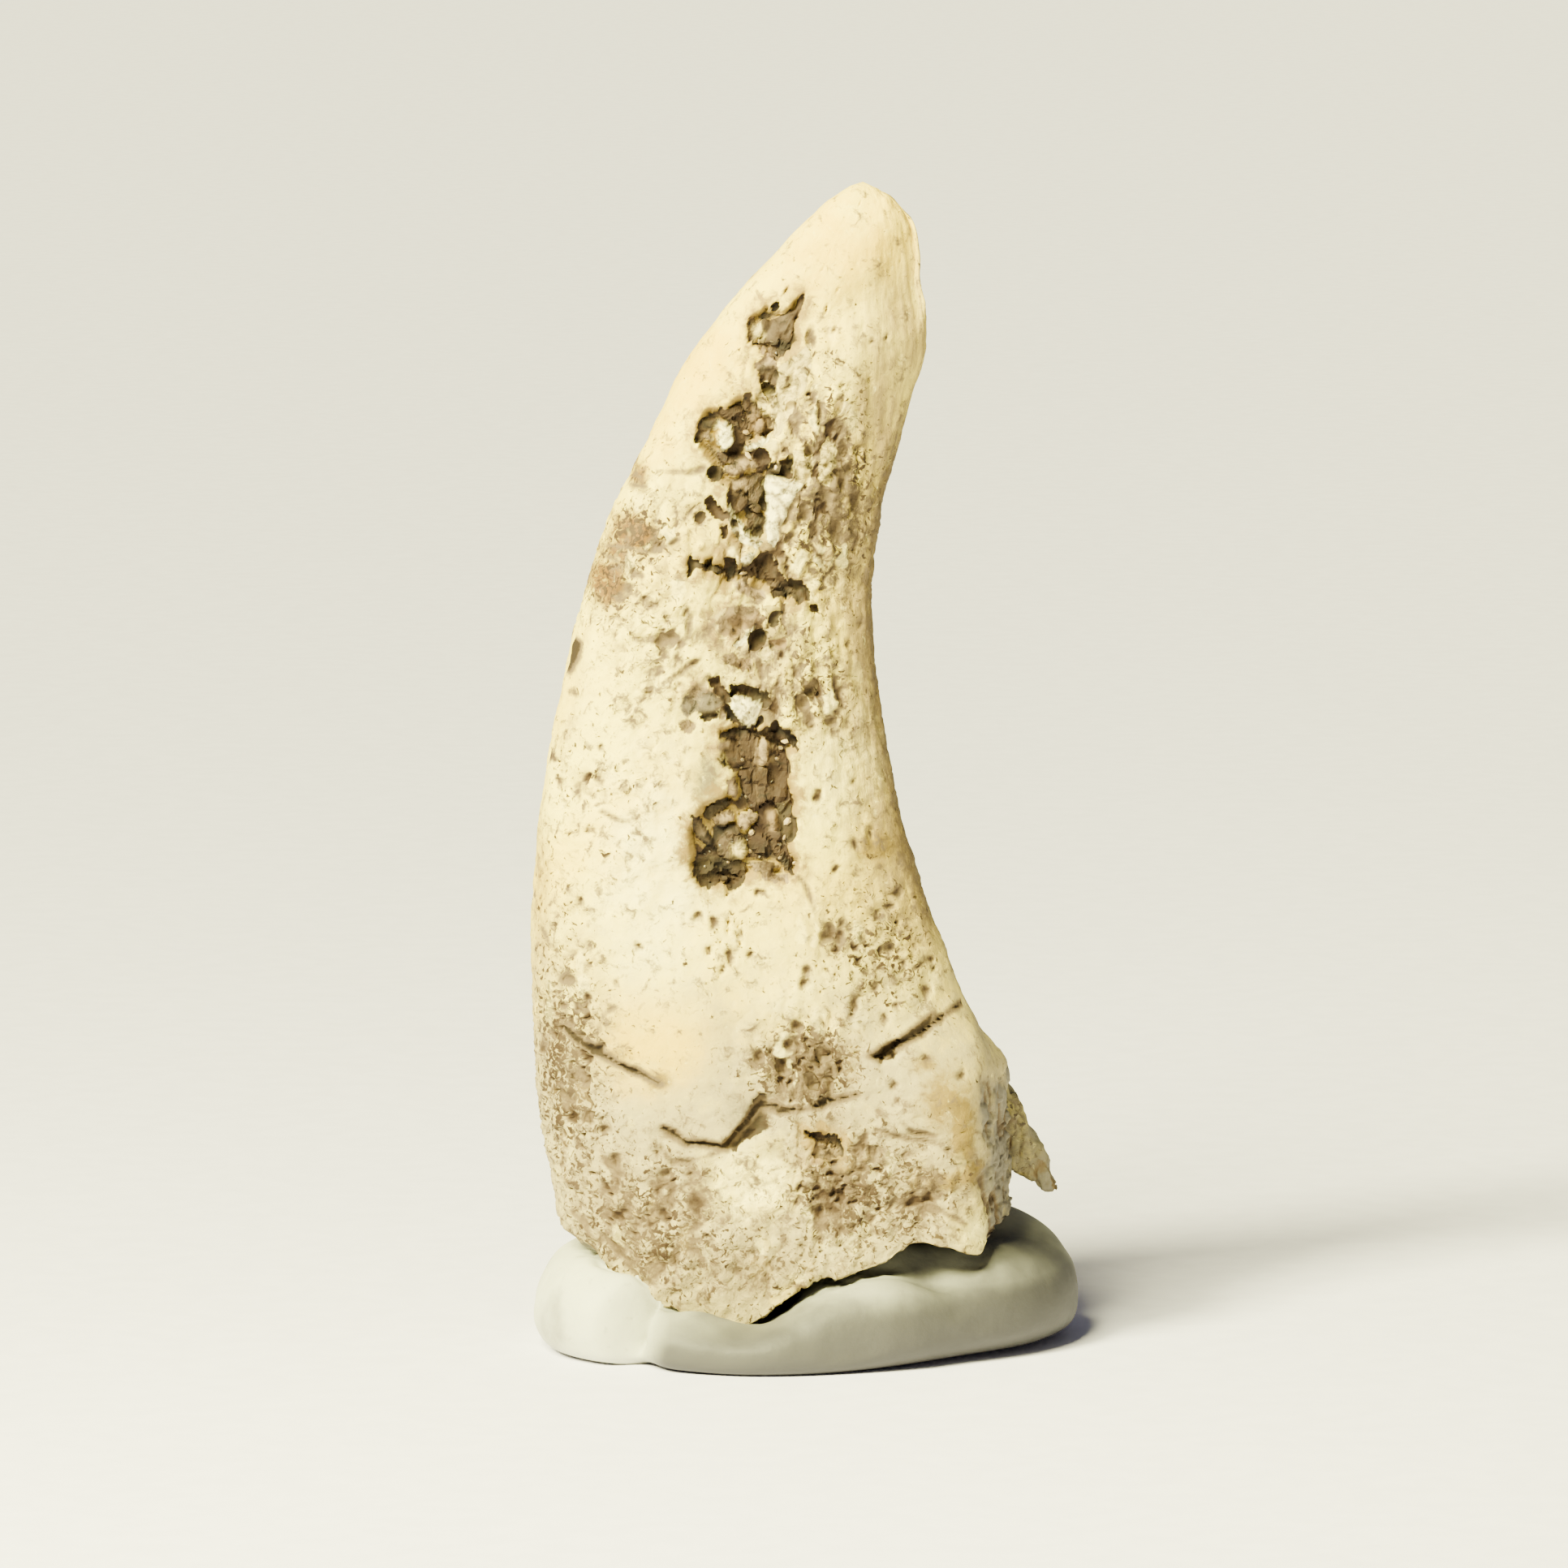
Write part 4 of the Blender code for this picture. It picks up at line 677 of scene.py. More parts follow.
PINKISH = (
    (-2.9, 19.2, 0.6, 0.5, 0.6), (-2.7, 24.1, 0.7, 1.6, 0.3), (-2.6, 22.9, 1.1, 1.3, 0.8),
    (-3.2, 20.9, 1.1, 0.8, 0.8), (-1.7, 22.3, 0.9, 1.1, 0.7), (0.3, 6.6, 0.9, 0.6, 0.7),
    (-1.3, 30.6, 0.5, 0.5, 0.7), (-1.4, 5.0, 0.8, 0.4, 0.5), (0.8, 8.3, 1.6, 0.7, 0.4),
    (1.2, 29.0, 0.8, 1.0, 0.3),
)
GREYED = (
    (-1.9, 8.1, 1.0, 0.8, 0.8), (0.2, 9.3, 1.2, 0.8, 0.9), (-3.1, 18.2, 0.7, 1.3, 0.9),
    (-2.8, 14.1, 0.9, 0.8, 0.4), (-7.2, 24.0, 0.6, 1.0, 0.3), (-6.0, 4.2, 1.6, 1.2, 0.3),
    (-7.2, 14.6, 0.8, 1.2, 0.3),
)


def spots(places):
    """The strength of a list of soft spots at each place on the near side."""
    total = np.zeros(len(skin))
    for x, z, half_width, half_height, strength in places:
        away = ((at_x - x) / half_width) ** 2 + ((at_z - z) / half_height) ** 2
        total = np.maximum(total, strength * np.exp(-away))
    return total


# The far side has patches of its own. The broken end shows on the cap and above it at the inner
# edge, with its greys partly painted shade. A strip along that edge is darker: painted shade where
# the surface turns away from the light.
far = ease(0.1, 0.5, through)
far_patches = 0.5 + 0.5 * fine_noise(skin, 0.22, 11.0)
broken_x = skin[:, 0] + 0.5 * fine_noise(skin, 0.8, 61.0) + 0.15 * fine_noise(skin, 3.0, 63.0)
broken_z = height + fine_noise(skin, 0.7, 67.0) + 0.2 * fine_noise(skin, 3.0, 69.0)
broken = np.maximum(on_cap, ease(5.1, 5.7, broken_x) * (1 - ease(8.0, 9.6, broken_z)))
inner_strip = ease(10.0, 15.0, height) * ease(33.5, 27.0, height)
# Painted shade along the inner strip, darkest in a thin line at the edge itself.
rim = ease(0.85, 1.0, across_share) * inner_strip * ease(1.0, 0.2, through)
rim *= 0.6 + 0.4 * fine_noise(skin, 0.5, 71.0)
rim *= 1 + 0.9 * ease(0.955, 1.0, across_share)
painted = {
    "hollow": np.where(near > 0.3, hollow, OUTSIDE),
    "crack": np.where(near > 0.2, crack, OUTSIDE),
    "pit": np.where(near > 0.2, pit, OUTSIDE),
    "redness": redness,
    "chip": chip * near,
    "canals": np.maximum(spots(OPEN_CANALS) * near,
                         np.maximum(0.4 * broken, 0.5 * far * ease(0.45, 0.8, far_patches))),
    "flaking": spots(FLAKING) * near + 0.25 * far,
    "rubble": spots(RUBBLE) * near,
    "grit": np.maximum(spots(GRITTY), 0.4 * far * ease(0.5, 0.9, far_patches)),
    "streaks": ease(0.55, 0.85, across_share) * ease(14.0, 20.0, height),
    # Painted shade: the bone is darker towards the bottom, where the light falls off.
    "shaded_below": ease(17.0, 7.0, height) * (1 - 0.6 * far) * (1 - 0.9 * spots(BLEACHED)),
    "yellowed": np.maximum(spots(YELLOWED), 0.2 * far * far_patches),
    # The inner strip is painted tan as well, as painted shade where the surface turns from the
    # light.
    "tan": np.maximum(spots(TAN), ease(0.7, 1.0, across_share) * inner_strip * (1 - 0.6 * far)),
    "bleached": np.maximum(spots(BLEACHED) * (1 - far), 0.8 * far * (1 - far_patches)),
    "ochre": np.maximum(spots(OCHRE) * (1 - far), 0.5 * far * ease(0.6, 0.95, far_patches)),
    "rusty": spots(RUSTY) * (1 - far),
    "pinkish": spots(PINKISH) * (1 - far),
    "greyed": spots(GREYED) * (1 - far),
    "rim": rim,
    "broken": broken,
    "far": far,
}


# A splinter of the far wall stands out at the inner edge, below the break. Its edges are given by
# how far out they are, X and height. It is greyer towards its point.
SPLINTER_UPPER = ((0.0, 5.3, 8.75), (0.25, 6.1, 8.3), (0.9, 7.8, 5.1), (1.0, 7.85, 4.75))
SPLINTER_LOWER = ((0.0, 5.3, 5.7), (0.35, 6.4, 5.3), (0.9, 7.6, 4.62), (1.0, 7.85, 4.7))
SPLINTER_MIDDLE_Y, SPLINTER_HALF_THICKNESS = 2.0, 0.62
SPLINTER_ROWS, SPLINTER_COLUMNS = 44, 32
SPLINTER_EDGE_POWER, SPLINTER_SIDE_POWER, SPLINTER_THINNING = 0.7, 0.6, 0.55
SPLINTER_GRAIN, SPLINTER_GRAIN_PER_MM = 0.05, 2.4
steps = np.linspace(0.0, 1.0, SPLINTER_ROWS)[:, None]
turn = np.linspace(0.0, 2 * math.pi, SPLINTER_COLUMNS, endpoint=False)[None, :]
across = np.sign(np.cos(turn)) * np.abs(np.cos(turn)) ** SPLINTER_EDGE_POWER
upper_x, upper_z = (along([(p[0], p[k]) for p in SPLINTER_UPPER], steps) for k in (1, 2))
lower_x, lower_z = (along([(p[0], p[k]) for p in SPLINTER_LOWER], steps) for k in (1, 2))
splinter_x = (upper_x + lower_x) / 2 + (upper_x - lower_x) / 2 * across
splinter_z = (upper_z + lower_z) / 2 + (upper_z - lower_z) / 2 * across
thin = SPLINTER_HALF_THICKNESS * (1 - SPLINTER_THINNING * steps)
thin = thin * np.sign(np.sin(turn)) * np.abs(np.sin(turn)) ** SPLINTER_SIDE_POWER
splinter_y = SPLINTER_MIDDLE_Y + thin
splinter = np.stack([splinter_x, splinter_y, splinter_z], axis=-1).reshape(-1, 3)
splinter_grain = SPLINTER_GRAIN * fine_noise(splinter, SPLINTER_GRAIN_PER_MM, 3.0)
splinter_shape = splinter + splinter_grain[:, None]
outward = np.broadcast_to(steps, splinter_x.shape).ravel()
splinter_paint = {
    "hollow": OUTSIDE, "crack": OUTSIDE, "pit": OUTSIDE,
    "grit": 0.35, "shaded_below": 0.5, "canals": 0.4,
    "broken": 0.85 - 0.4 * ease(0.1, 0.4, outward) + 0.5 * ease(0.5, 0.9, outward),
    "greyed": 0.75 + 0.6 * ease(0.45, 0.85, outward),
}


def new_object(name, mesh):
    made = bpy.data.objects.new(name, mesh)
    bpy.context.scene.collection.objects.link(made)
    return made


def tube_faces(rings, columns):
    """Faces that join rings of vertices, given by the first vertex of each ring."""
    faces = []
    for a, b in zip(rings, rings[1:]):
        faces += [(a + c, a + (c + 1) % columns, b + (c + 1) % columns, b + c)
                  for c in range(columns)]
    return faces


def cap_faces(pole, ring, columns):
    """A fan of faces from one vertex to a ring."""
    return [(pole, ring + (c + 1) % columns, ring + c) for c in range(columns)]


def closed_mesh(name, points, faces):
    """A smooth mesh in metres from points in mm, its faces turned outwards."""
    mesh = bpy.data.meshes.new(name)
    mesh.from_pydata((points * MM).tolist(), [], faces)
    work = bmesh.new()
    work.from_mesh(mesh)
    bmesh.ops.recalc_face_normals(work, faces=work.faces)
    work.to_mesh(mesh)
    work.free()
    mesh.shade_smooth()
    return mesh


# The rings run from the middle of the cap out to the rim and up to the tip. The four poles are the
# middle of the cap, the tip and the splinter's two ends.
splinter_start = len(skin)
poles = splinter_start + len(splinter)
rings = [splinter_start - COLUMNS * (i + 1) for i in range(CAP_RINGS - 1)]
rings += [r * COLUMNS for r in range(len(rows))]
splinter_rings = [splinter_start + r * SPLINTER_COLUMNS for r in range(SPLINTER_ROWS)]
pole_points = [(middle_x, middle_y, cap_z[-1].mean()), TIP,
               splinter_shape[:SPLINTER_COLUMNS].mean(axis=0),
               splinter_shape[-SPLINTER_COLUMNS:].mean(axis=0)]
faces = tube_faces(rings, COLUMNS) + tube_faces(splinter_rings, SPLINTER_COLUMNS)
faces += cap_faces(poles, rings[0], COLUMNS) + cap_faces(poles + 1, rings[-1], COLUMNS)
for i, ring in enumerate((splinter_rings[0], splinter_rings[-1])):
    faces += cap_faces(poles + 2 + i, ring, SPLINTER_COLUMNS)
beside_poles = [len(body), len(body) - COLUMNS, splinter_start, splinter_start]
for name, values in painted.items():
    own = np.broadcast_to(splinter_paint.get(name, 0.0), len(splinter))
    values = np.concatenate([values, own])
    painted[name] = np.concatenate([values, values[beside_poles]])
skin = np.concatenate([skin, splinter, pole_points])
shape = np.concatenate([shape, splinter_shape, pole_points]) + (0.0, 0.0, claw_drop)
unpainted = np.zeros((len(skin) - len(chip_colour), 4))
chip_colour = np.concatenate([chip_colour, unpainted])

claw_mesh = closed_mesh("claw_bone", shape, faces)
layers = [(name, "FLOAT", "value", values) for name, values in painted.items()]
layers += [("chip_colour", "FLOAT_COLOR", "color", chip_colour),
           ("skin", "FLOAT_VECTOR", "vector", skin)]
for name, kind, field, values in layers:
    layer = claw_mesh.attributes.new(name, kind, "POINT")
    layer.data.foreach_set(field, np.asarray(values, np.float32).ravel())
claw = new_object("claw_bone", claw_mesh)


def add(tree, kind, inputs=None, **settings):
    """Adds a node with its settings. An input is a value, a socket, or a node's first output."""
    made = tree.nodes.new(kind)
    for name, value in settings.items():
        setattr(made, name, value)
    for key, value in (inputs or {}).items():
        if isinstance(value, bpy.types.Node):
            value = value.outputs[0]
        if isinstance(value, bpy.types.NodeSocket):
            tree.links.new(value, made.inputs[key])
        else:
            made.inputs[key].default_value = value
    return made


# Canals of the real bone are 0.1 to 0.3 mm wide, and these open ones are drawn at that size. Each
# kind has cells in a mm, how much it is drawn out along the claw, and its widest half width.
CANALS = ((1.9, 0.75, 0.5), (3.3, 1.0, 0.55))
STREAK_CANALS = (2.6, 0.3, 0.5)
# Crystals in the holes are about 0.5 mm wide, and chips of broken bone 0.4 mm wide and longer.
CRYSTALS_PER_MM, RUBBLE_PER_MM, RUBBLE_LENGTH = 2.0, 2.3, 0.5


def open_canals(tree, place, openness, per_mm, length, widest):
    """A field above 0 inside the canals of one kind, more and wider ones where openness is."""
    drawn = add(tree, "ShaderNodeVectorMath", {0: place, 1: (1.0, 1.0, length)},
                operation="MULTIPLY")
    cells = add(tree, "ShaderNodeTexVoronoi", {"Vector": drawn, "Scale": per_mm})
    chance = add(tree, "ShaderNodeSeparateXYZ", {0: cells.outputs["Color"]})
    spare = add(tree, "ShaderNodeMath", {0: openness, 1: chance}, operation="SUBTRACT")
    radius = add(tree, "ShaderNodeMapRange", {0: spare, 2: 0.7, 3: 0.05, 4: widest})
    return add(tree, "ShaderNodeMath", {0: radius, 1: cells.outputs["Distance"]},
               operation="SUBTRACT")


def ragged(tree, place, per_mm, reach):
    """Places shifted by noise, so that what is drawn at them gets ragged edges."""
    shift = add(tree, "ShaderNodeTexNoise", {"Vector": place, "Scale": per_mm, "Detail": 2.0})
    centred = add(tree, "ShaderNodeVectorMath", {0: shift.outputs["Color"], 1: (0.5, 0.5, 0.5)},
                  operation="SUBTRACT")
    return add(tree, "ShaderNodeVectorMath", {0: centred, 1: (reach, reach, reach), 2: place},
               operation="MULTIPLY_ADD")


def broken_cells(tree, place, per_mm, length):
    """Irregular lumps with flat, leaning tops: their cells, and how high each place stands."""
    drawn = add(tree, "ShaderNodeVectorMath", {0: place, 1: (1.0, 1.0, length)},
                operation="MULTIPLY")
    cells = add(tree, "ShaderNodeTexVoronoi", {"Vector": drawn, "Scale": per_mm})
    lean = add(tree, "ShaderNodeVectorMath", {0: cells.outputs["Color"], 1: (0.5, 0.5, 0.5)},
               operation="SUBTRACT")
    aside = add(tree, "ShaderNodeVectorMath", {0: drawn, 1: cells.outputs["Position"]},
                operation="SUBTRACT")
    top = add(tree, "ShaderNodeVectorMath", {0: lean, 1: aside}, operation="DOT_PRODUCT")
    rise = add(tree, "ShaderNodeSeparateXYZ", {0: cells.outputs["Color"]})
    height = add(tree, "ShaderNodeMath", {0: top.outputs["Value"], 1: 2.4, 2: rise.outputs[1]},
                 operation="MULTIPLY_ADD")
    return cells, height


def new_tree(name, inputs):
    """A Geometry Nodes tree from mesh to mesh with more inputs, and what it is given."""
    tree = bpy.data.node_groups.new(name, "GeometryNodeTree")
    for socket, kind in {"Geometry": "Geometry", **inputs}.items():
        tree.interface.new_socket(socket, in_out="INPUT", socket_type="NodeSocket" + kind)
    tree.interface.new_socket("Geometry", in_out="OUTPUT", socket_type="NodeSocketGeometry")
    return tree, add(tree, "NodeGroupInput").outputs


# The bone's fine relief follows its skin: open canals, layers that peel, gritty worn patches, fine
# lengthwise streaks in the cortex, and crystals that fill the holes. Its sizes are in mm.
SIZES = {"Canal depth": 0.16, "Rubble height": 0.14, "Rubble gaps": 0.1, "Peel depth": 0.1,
         "Grit height": 0.09, "Grain height": 0.03, "Streak height": 0.02,
         "Crystal height": 0.16, "Wear height": 0.07}
relief, given = new_tree("bone relief", {**dict.fromkeys(SIZES, "Float"), "Finish": "Material"})
read = {name: add(relief, "GeometryNodeInputNamedAttribute", {"Name": name}) for name in painted}
place = add(relief, "GeometryNodeInputNamedAttribute", {"Name": "skin"},
            data_type="FLOAT_VECTOR")
torn = ragged(relief, place, 2.6, 0.5)
streak_share = add(relief, "ShaderNodeMath", {0: read["canals"], 1: read["tan"]},
                   operation="MULTIPLY")
streak_share = add(relief, "ShaderNodeMath", {0: streak_share, 1: 1.6}, operation="MULTIPLY")
wear = add(relief, "ShaderNodeTexNoise", {"Vector": place, "Scale": 0.55, "Detail": 3.0})
peel = add(relief, "ShaderNodeTexNoise", {"Vector": place, "Scale": 0.6, "Detail": 5.0,
                                          "Roughness": 0.62, "Distortion": 0.4})
grit = add(relief, "ShaderNodeTexNoise", {"Vector": torn, "Scale": 1.9, "Detail": 3.0,
                                          "Roughness": 0.65})
grain = add(relief, "ShaderNodeTexNoise", {"Vector": place, "Scale": 3.6, "Detail": 2.0})
drawn_out = add(relief, "ShaderNodeVectorMath", {0: place, 1: (1.0, 1.0, 0.1)},
                operation="MULTIPLY")
fibre = add(relief, "ShaderNodeTexNoise", {"Vector": drawn_out, "Scale": 3.4, "Detail": 3.0})
rough = add(relief, "ShaderNodeMath", {0: read["grit"], 1: 0.9, 2: 0.1},
            operation="MULTIPLY_ADD")
unstreaked = add(relief, "ShaderNodeMath", {0: read["streaks"], 1: -0.8, 2: 1.0},
                 operation="MULTIPLY_ADD")
_, crystal_height = broken_cells(relief, place, CRYSTALS_PER_MM, 1.0)
lumps, lump_height = broken_cells(relief, torn, RUBBLE_PER_MM, RUBBLE_LENGTH)
gaps = lumps.outputs["Distance"]
in_hole = add(relief, "ShaderNodeMapRange", {0: read["hollow"], 2: 0.16},
              interpolation_type="SMOOTHSTEP")
LAYERS = [
    (open_canals(relief, torn, read["canals"], *kind), -0.06, 0.12, 0.0, -1.0, unstreaked,
     "Canal depth") for kind in CANALS
] + [
    (open_canals(relief, torn, streak_share, *STREAK_CANALS), -0.06, 0.12, 0.0, -1.0, 1.0,
     "Canal depth"),
    (peel, 0.49, 0.53, 0.0, -1.0, read["flaking"], "Peel depth"),
    (lump_height, 0.0, 1.0, -1.0, 0.6, read["rubble"], "Rubble height"),
    (gaps, 0.42, 0.62, 0.0, -1.0, read["rubble"], "Rubble gaps"),
    (lump_height, 0.0, 1.0, -0.6, 0.4, read["broken"], "Rubble height"),
    (gaps, 0.42, 0.62, 0.0, -1.0, read["broken"], "Rubble gaps"),
    (grit, 0.35, 0.65, -1.0, 1.0, rough, "Grit height"),
    (grain, 0.3, 0.7, -1.0, 1.0, rough, "Grain height"),
    (wear, 0.3, 0.7, -0.5, 0.5, 1.0, "Wear height"),
    (fibre, 0.3, 0.7, -1.0, 1.0, read["streaks"], "Streak height"),
]
worn = 0.0
for field, low, high, at_low, at_high, where, size in LAYERS:
    step = add(relief, "ShaderNodeMapRange", {0: field, 1: low, 2: high, 3: at_low, 4: at_high},
               interpolation_type="SMOOTHSTEP")
    here = add(relief, "ShaderNodeMath", {0: step, 1: where}, operation="MULTIPLY")
    worn = add(relief, "ShaderNodeMath", {0: here, 1: given[size], 2: worn},
               operation="MULTIPLY_ADD")
height = add(relief, "ShaderNodeMath", {0: in_hole, 1: crystal_height}, operation="MULTIPLY")
height = add(relief, "ShaderNodeMath", {0: height, 1: given["Crystal height"], 2: worn},
             operation="MULTIPLY_ADD")
metres = add(relief, "ShaderNodeMath", {0: height, 1: MM}, operation="MULTIPLY")
normal = add(relief, "GeometryNodeInputNormal")
push = add(relief, "ShaderNodeVectorMath", {0: normal, "Scale": metres}, operation="SCALE")
stored = add(relief, "GeometryNodeStoreNamedAttribute",
             {"Geometry": given[0], "Name": "worn", "Value": worn})
moved = add(relief, "GeometryNodeSetPosition", {"Geometry": stored, "Offset": push})
whole = add(relief, "GeometryNodeRealizeInstances", {0: moved})
coated = add(relief, "GeometryNodeSetMaterial", {0: whole, "Material": given["Finish"]})
add(relief, "NodeGroupOutput", {0: coated})


# The finish of the fossil bone: dense stone-like bone, dry and matte, worn by hand and weather.
# It gives the eye warm cream with tan streaked cortex, chalky bleached patches, ochre iron stains
# and open brown canals, and brown mineral in the holes. Painted shade darkens its lower part, its
# inner strip and partly its broken face; its far side has a less saturated cream for its shade.
def lay_over(tree, under, over, factor, low=0.0, high=1.0):
    """Lays one colour over another, more of it as the factor goes from low to high."""
    under, over = (linear(tint) if isinstance(tint, str) else tint for tint in (under, over))
    share = add(tree, "ShaderNodeMapRange", {0: factor, 1: low, 2: high},
                interpolation_type="SMOOTHSTEP")
    return add(tree, "ShaderNodeMix", {0: share, 6: under, 7: over},
               data_type="RGBA").outputs[2]


def new_finish(name, constants):
    """A new material with the constants of its shader set, its node tree and its shader."""
    finish = bpy.data.materials.new(name)
    finish.use_nodes = True
    shader = finish.node_tree.nodes["Principled BSDF"]
    for socket, value in constants.items():
        shader.inputs[socket].default_value = value
    return finish, finish.node_tree, shader


CREAM, PALE_CREAM, YELLOW, BONE_SHADED_BELOW = "#e6cb48", "#ebd860", "#e0bd20", "#a2946a"
TAN_CORTEX, WHITE_BONE, OCHRE_STAIN, RUST_STAIN = "#927d4c", "#efe08c", "#786328", "#5c3c16"
PINK_MINERAL, GREY_BONE, EARTH_BROWN = "#6f523b", "#625b49", "#38291a"
GRIME, LIGHT_FLECK, BREAK_GREY_AND_SHADE = "#65553d", "#f5e78c", "#706a5f"
CRACK_BROWN, OLIVE_CLOUD, RIM_SHADE_BROWN = "#2c2113", "#88784c", "#4e3e2c"
WATER_STAIN, BREAK_DARK, BREAK_PALE = "#87703a", "#4a433b", "#8f8774"
SHADED_SIDE_CREAM = "#dccd98"

bone, tree, shader = new_finish("weathered fossil bone", {
    "Roughness": 0.78, "IOR": 1.5, "Specular IOR Level": 0.25})
place = add(tree, "ShaderNodeAttribute", attribute_name="skin").outputs["Vector"]
mask = {name: add(tree, "ShaderNodeAttribute", attribute_name=name).outputs["Fac"]
        for name in list(painted) + ["worn"]}
chip_paint = add(tree, "ShaderNodeAttribute", attribute_name="chip_colour").outputs["Color"]
torn = ragged(tree, place, 2.6, 0.5)
drawn_out = add(tree, "ShaderNodeVectorMath", {0: place, 1: (1.0, 1.0, 0.1)},
                operation="MULTIPLY")
PATTERNS = {"broad": (place, 0.28, 4.0, 0.5), "cloudy": (place, 1.0, 5.0, 0.65),
            "blotchy": (torn, 2.2, 4.0, 0.65), "speckled": (torn, 3.6, 4.0, 0.6),
            "fine": (place, 11.0, 3.0, 0.6), "stippled": (torn, 6.5, 2.0, 0.5),
            "fibrous": (drawn_out, 3.4, 4.0, 0.65)}
noises = {}
for name, (vector, per_mm, detail, roughness) in PATTERNS.items():
    noises[name] = add(tree, "ShaderNodeTexNoise", {"Vector": vector, "Scale": per_mm,
                                                    "Detail": detail, "Roughness": roughness})

# Each stain, and the painted shade of the lower bone and the inner strip, is laid on through a
# noise, so that it breaks up: mask, noise, where it starts and is full, its colour, and the most
# of it.
STAINS_AND_SHADE = (
    ("shaded_below", "cloudy", 0.0, 0.45, BONE_SHADED_BELOW, 0.95),
    ("yellowed", "cloudy", 0.06, 0.6, YELLOW, 0.95),
    ("tan", "fibrous", 0.05, 0.55, TAN_CORTEX, 0.95),
    ("bleached", "cloudy", 0.1, 0.6, WHITE_BONE, 0.9),
    ("ochre", "blotchy", 0.08, 0.38, OCHRE_STAIN, 0.94),
    ("rusty", "blotchy", 0.06, 0.5, RUST_STAIN, 0.97),
    ("pinkish", "speckled", 0.14, 0.42, PINK_MINERAL, 0.9),
    ("greyed", "blotchy", 0.1, 0.5, GREY_BONE, 0.9),
    ("rim", "blotchy", 0.1, 0.6, RIM_SHADE_BROWN, 0.8),
)
colour = lay_over(tree, CREAM, PALE_CREAM, noises["broad"], 0.35, 0.62)
colour = lay_over(tree, colour, TAN_CORTEX, noises["cloudy"], 0.5, 0.85)
colour = lay_over(tree, colour, OLIVE_CLOUD, noises["blotchy"], 0.5, 0.85)
# Painted light: the far side, which lies in shade, gets a less saturated copy of the cream.
colour = lay_over(tree, colour, SHADED_SIDE_CREAM, mask["far"])
for name, pattern, low, high, laid_colour, most in STAINS_AND_SHADE:
    broken_up = add(tree, "ShaderNodeMath", {0: mask[name], 1: noises[pattern]},
                    operation="MULTIPLY")
    share = add(tree, "ShaderNodeMapRange", {0: broken_up, 1: low, 2: high, 4: most},
                interpolation_type="SMOOTHSTEP")
    colour = add(tree, "ShaderNodeMix", {0: share, 6: colour, 7: linear(laid_colour)},
                 data_type="RGBA").outputs[2]
dirt = add(tree, "ShaderNodeMath", {0: mask["grit"], 1: 0.1, 2: noises["blotchy"]},
           operation="MULTIPLY_ADD")
colour = lay_over(tree, colour, GRIME, dirt, 0.54, 0.74)
specks, stippling = noises["speckled"], noises["stippled"]
for name in ("grit", "canals"):
    specks = add(tree, "ShaderNodeMath", {0: mask[name], 1: 0.1, 2: specks},
                 operation="MULTIPLY_ADD")
colour = lay_over(tree, colour, EARTH_BROWN, specks, 0.63, 0.75)
for name, more in (("grit", 0.13), ("canals", 0.15), ("rubble", 0.12), ("rusty", 0.13),
                   ("bleached", -0.06)):
    stippling = add(tree, "ShaderNodeMath", {0: mask[name], 1: more, 2: stippling},
                    operation="MULTIPLY_ADD")
colour = lay_over(tree, colour, EARTH_BROWN, stippling, 0.69, 0.79)
colour = lay_over(tree, colour, LIGHT_FLECK, noises["speckled"], 0.4, 0.1)
# The broken face is laid in greys: partly its own colour, partly painted shade of a face turned
# from the light.
for tint, pattern, low, high in ((BREAK_GREY_AND_SHADE, "cloudy", 0.1, 0.5),
                                 (BREAK_DARK, "blotchy", 0.5, 0.75),
                                 (BREAK_PALE, "fibrous", 0.5, 0.75)):
    patch = add(tree, "ShaderNodeMath", {0: mask["broken"], 1: noises[pattern]},
                operation="MULTIPLY")
    colour = lay_over(tree, colour, tint, patch, low, high)

# The chips of broken bone differ in tone, with dirt between them.
chips, chip_height = broken_cells(tree, torn, RUBBLE_PER_MM, RUBBLE_LENGTH)
chance = add(tree, "ShaderNodeSeparateXYZ", {0: chips.outputs["Color"]})
chip_tone = colour
for tint, low, high in ((WHITE_BONE, 0.55, 0.6), (TAN_CORTEX, 0.66, 0.71), (GRIME, 0.8, 0.85)):
    chip_tone = lay_over(tree, chip_tone, tint, chance.outputs[2], low, high)
chip_tone = lay_over(tree, chip_tone, GRIME, chips.outputs["Distance"], 0.4, 0.62)
colour = add(tree, "ShaderNodeMix", {0: mask["rubble"], 6: colour, 7: chip_tone},
             data_type="RGBA").outputs[2]

# Brown water stains spread from the holes, and the colour is darker where the relief is worn deep.
spread = add(tree, "ShaderNodeMapRange", {0: mask["hollow"], 1: -1.1, 2: -0.1})
spread = add(tree, "ShaderNodeMath", {0: spread, 1: noises["blotchy"]}, operation="MULTIPLY")
colour = lay_over(tree, colour, WATER_STAIN, spread, 0.28, 0.62)
deep = add(tree, "ShaderNodeMath", {0: noises["speckled"], 1: -0.12, 2: mask["worn"]},
           operation="MULTIPLY_ADD")
colour = lay_over(tree, colour, GRIME, deep, -0.12, -0.2)
colour = lay_over(tree, colour, EARTH_BROWN, deep, -0.17, -0.27)
ragged_pit = add(tree, "ShaderNodeMath", {0: noises["fine"], 1: 0.12, 2: mask["pit"]},
                 operation="MULTIPLY_ADD")
colour = lay_over(tree, colour, GRIME, ragged_pit, -0.03, 0.12)
colour = lay_over(tree, colour, EARTH_BROWN, ragged_pit, 0.07, 0.2)

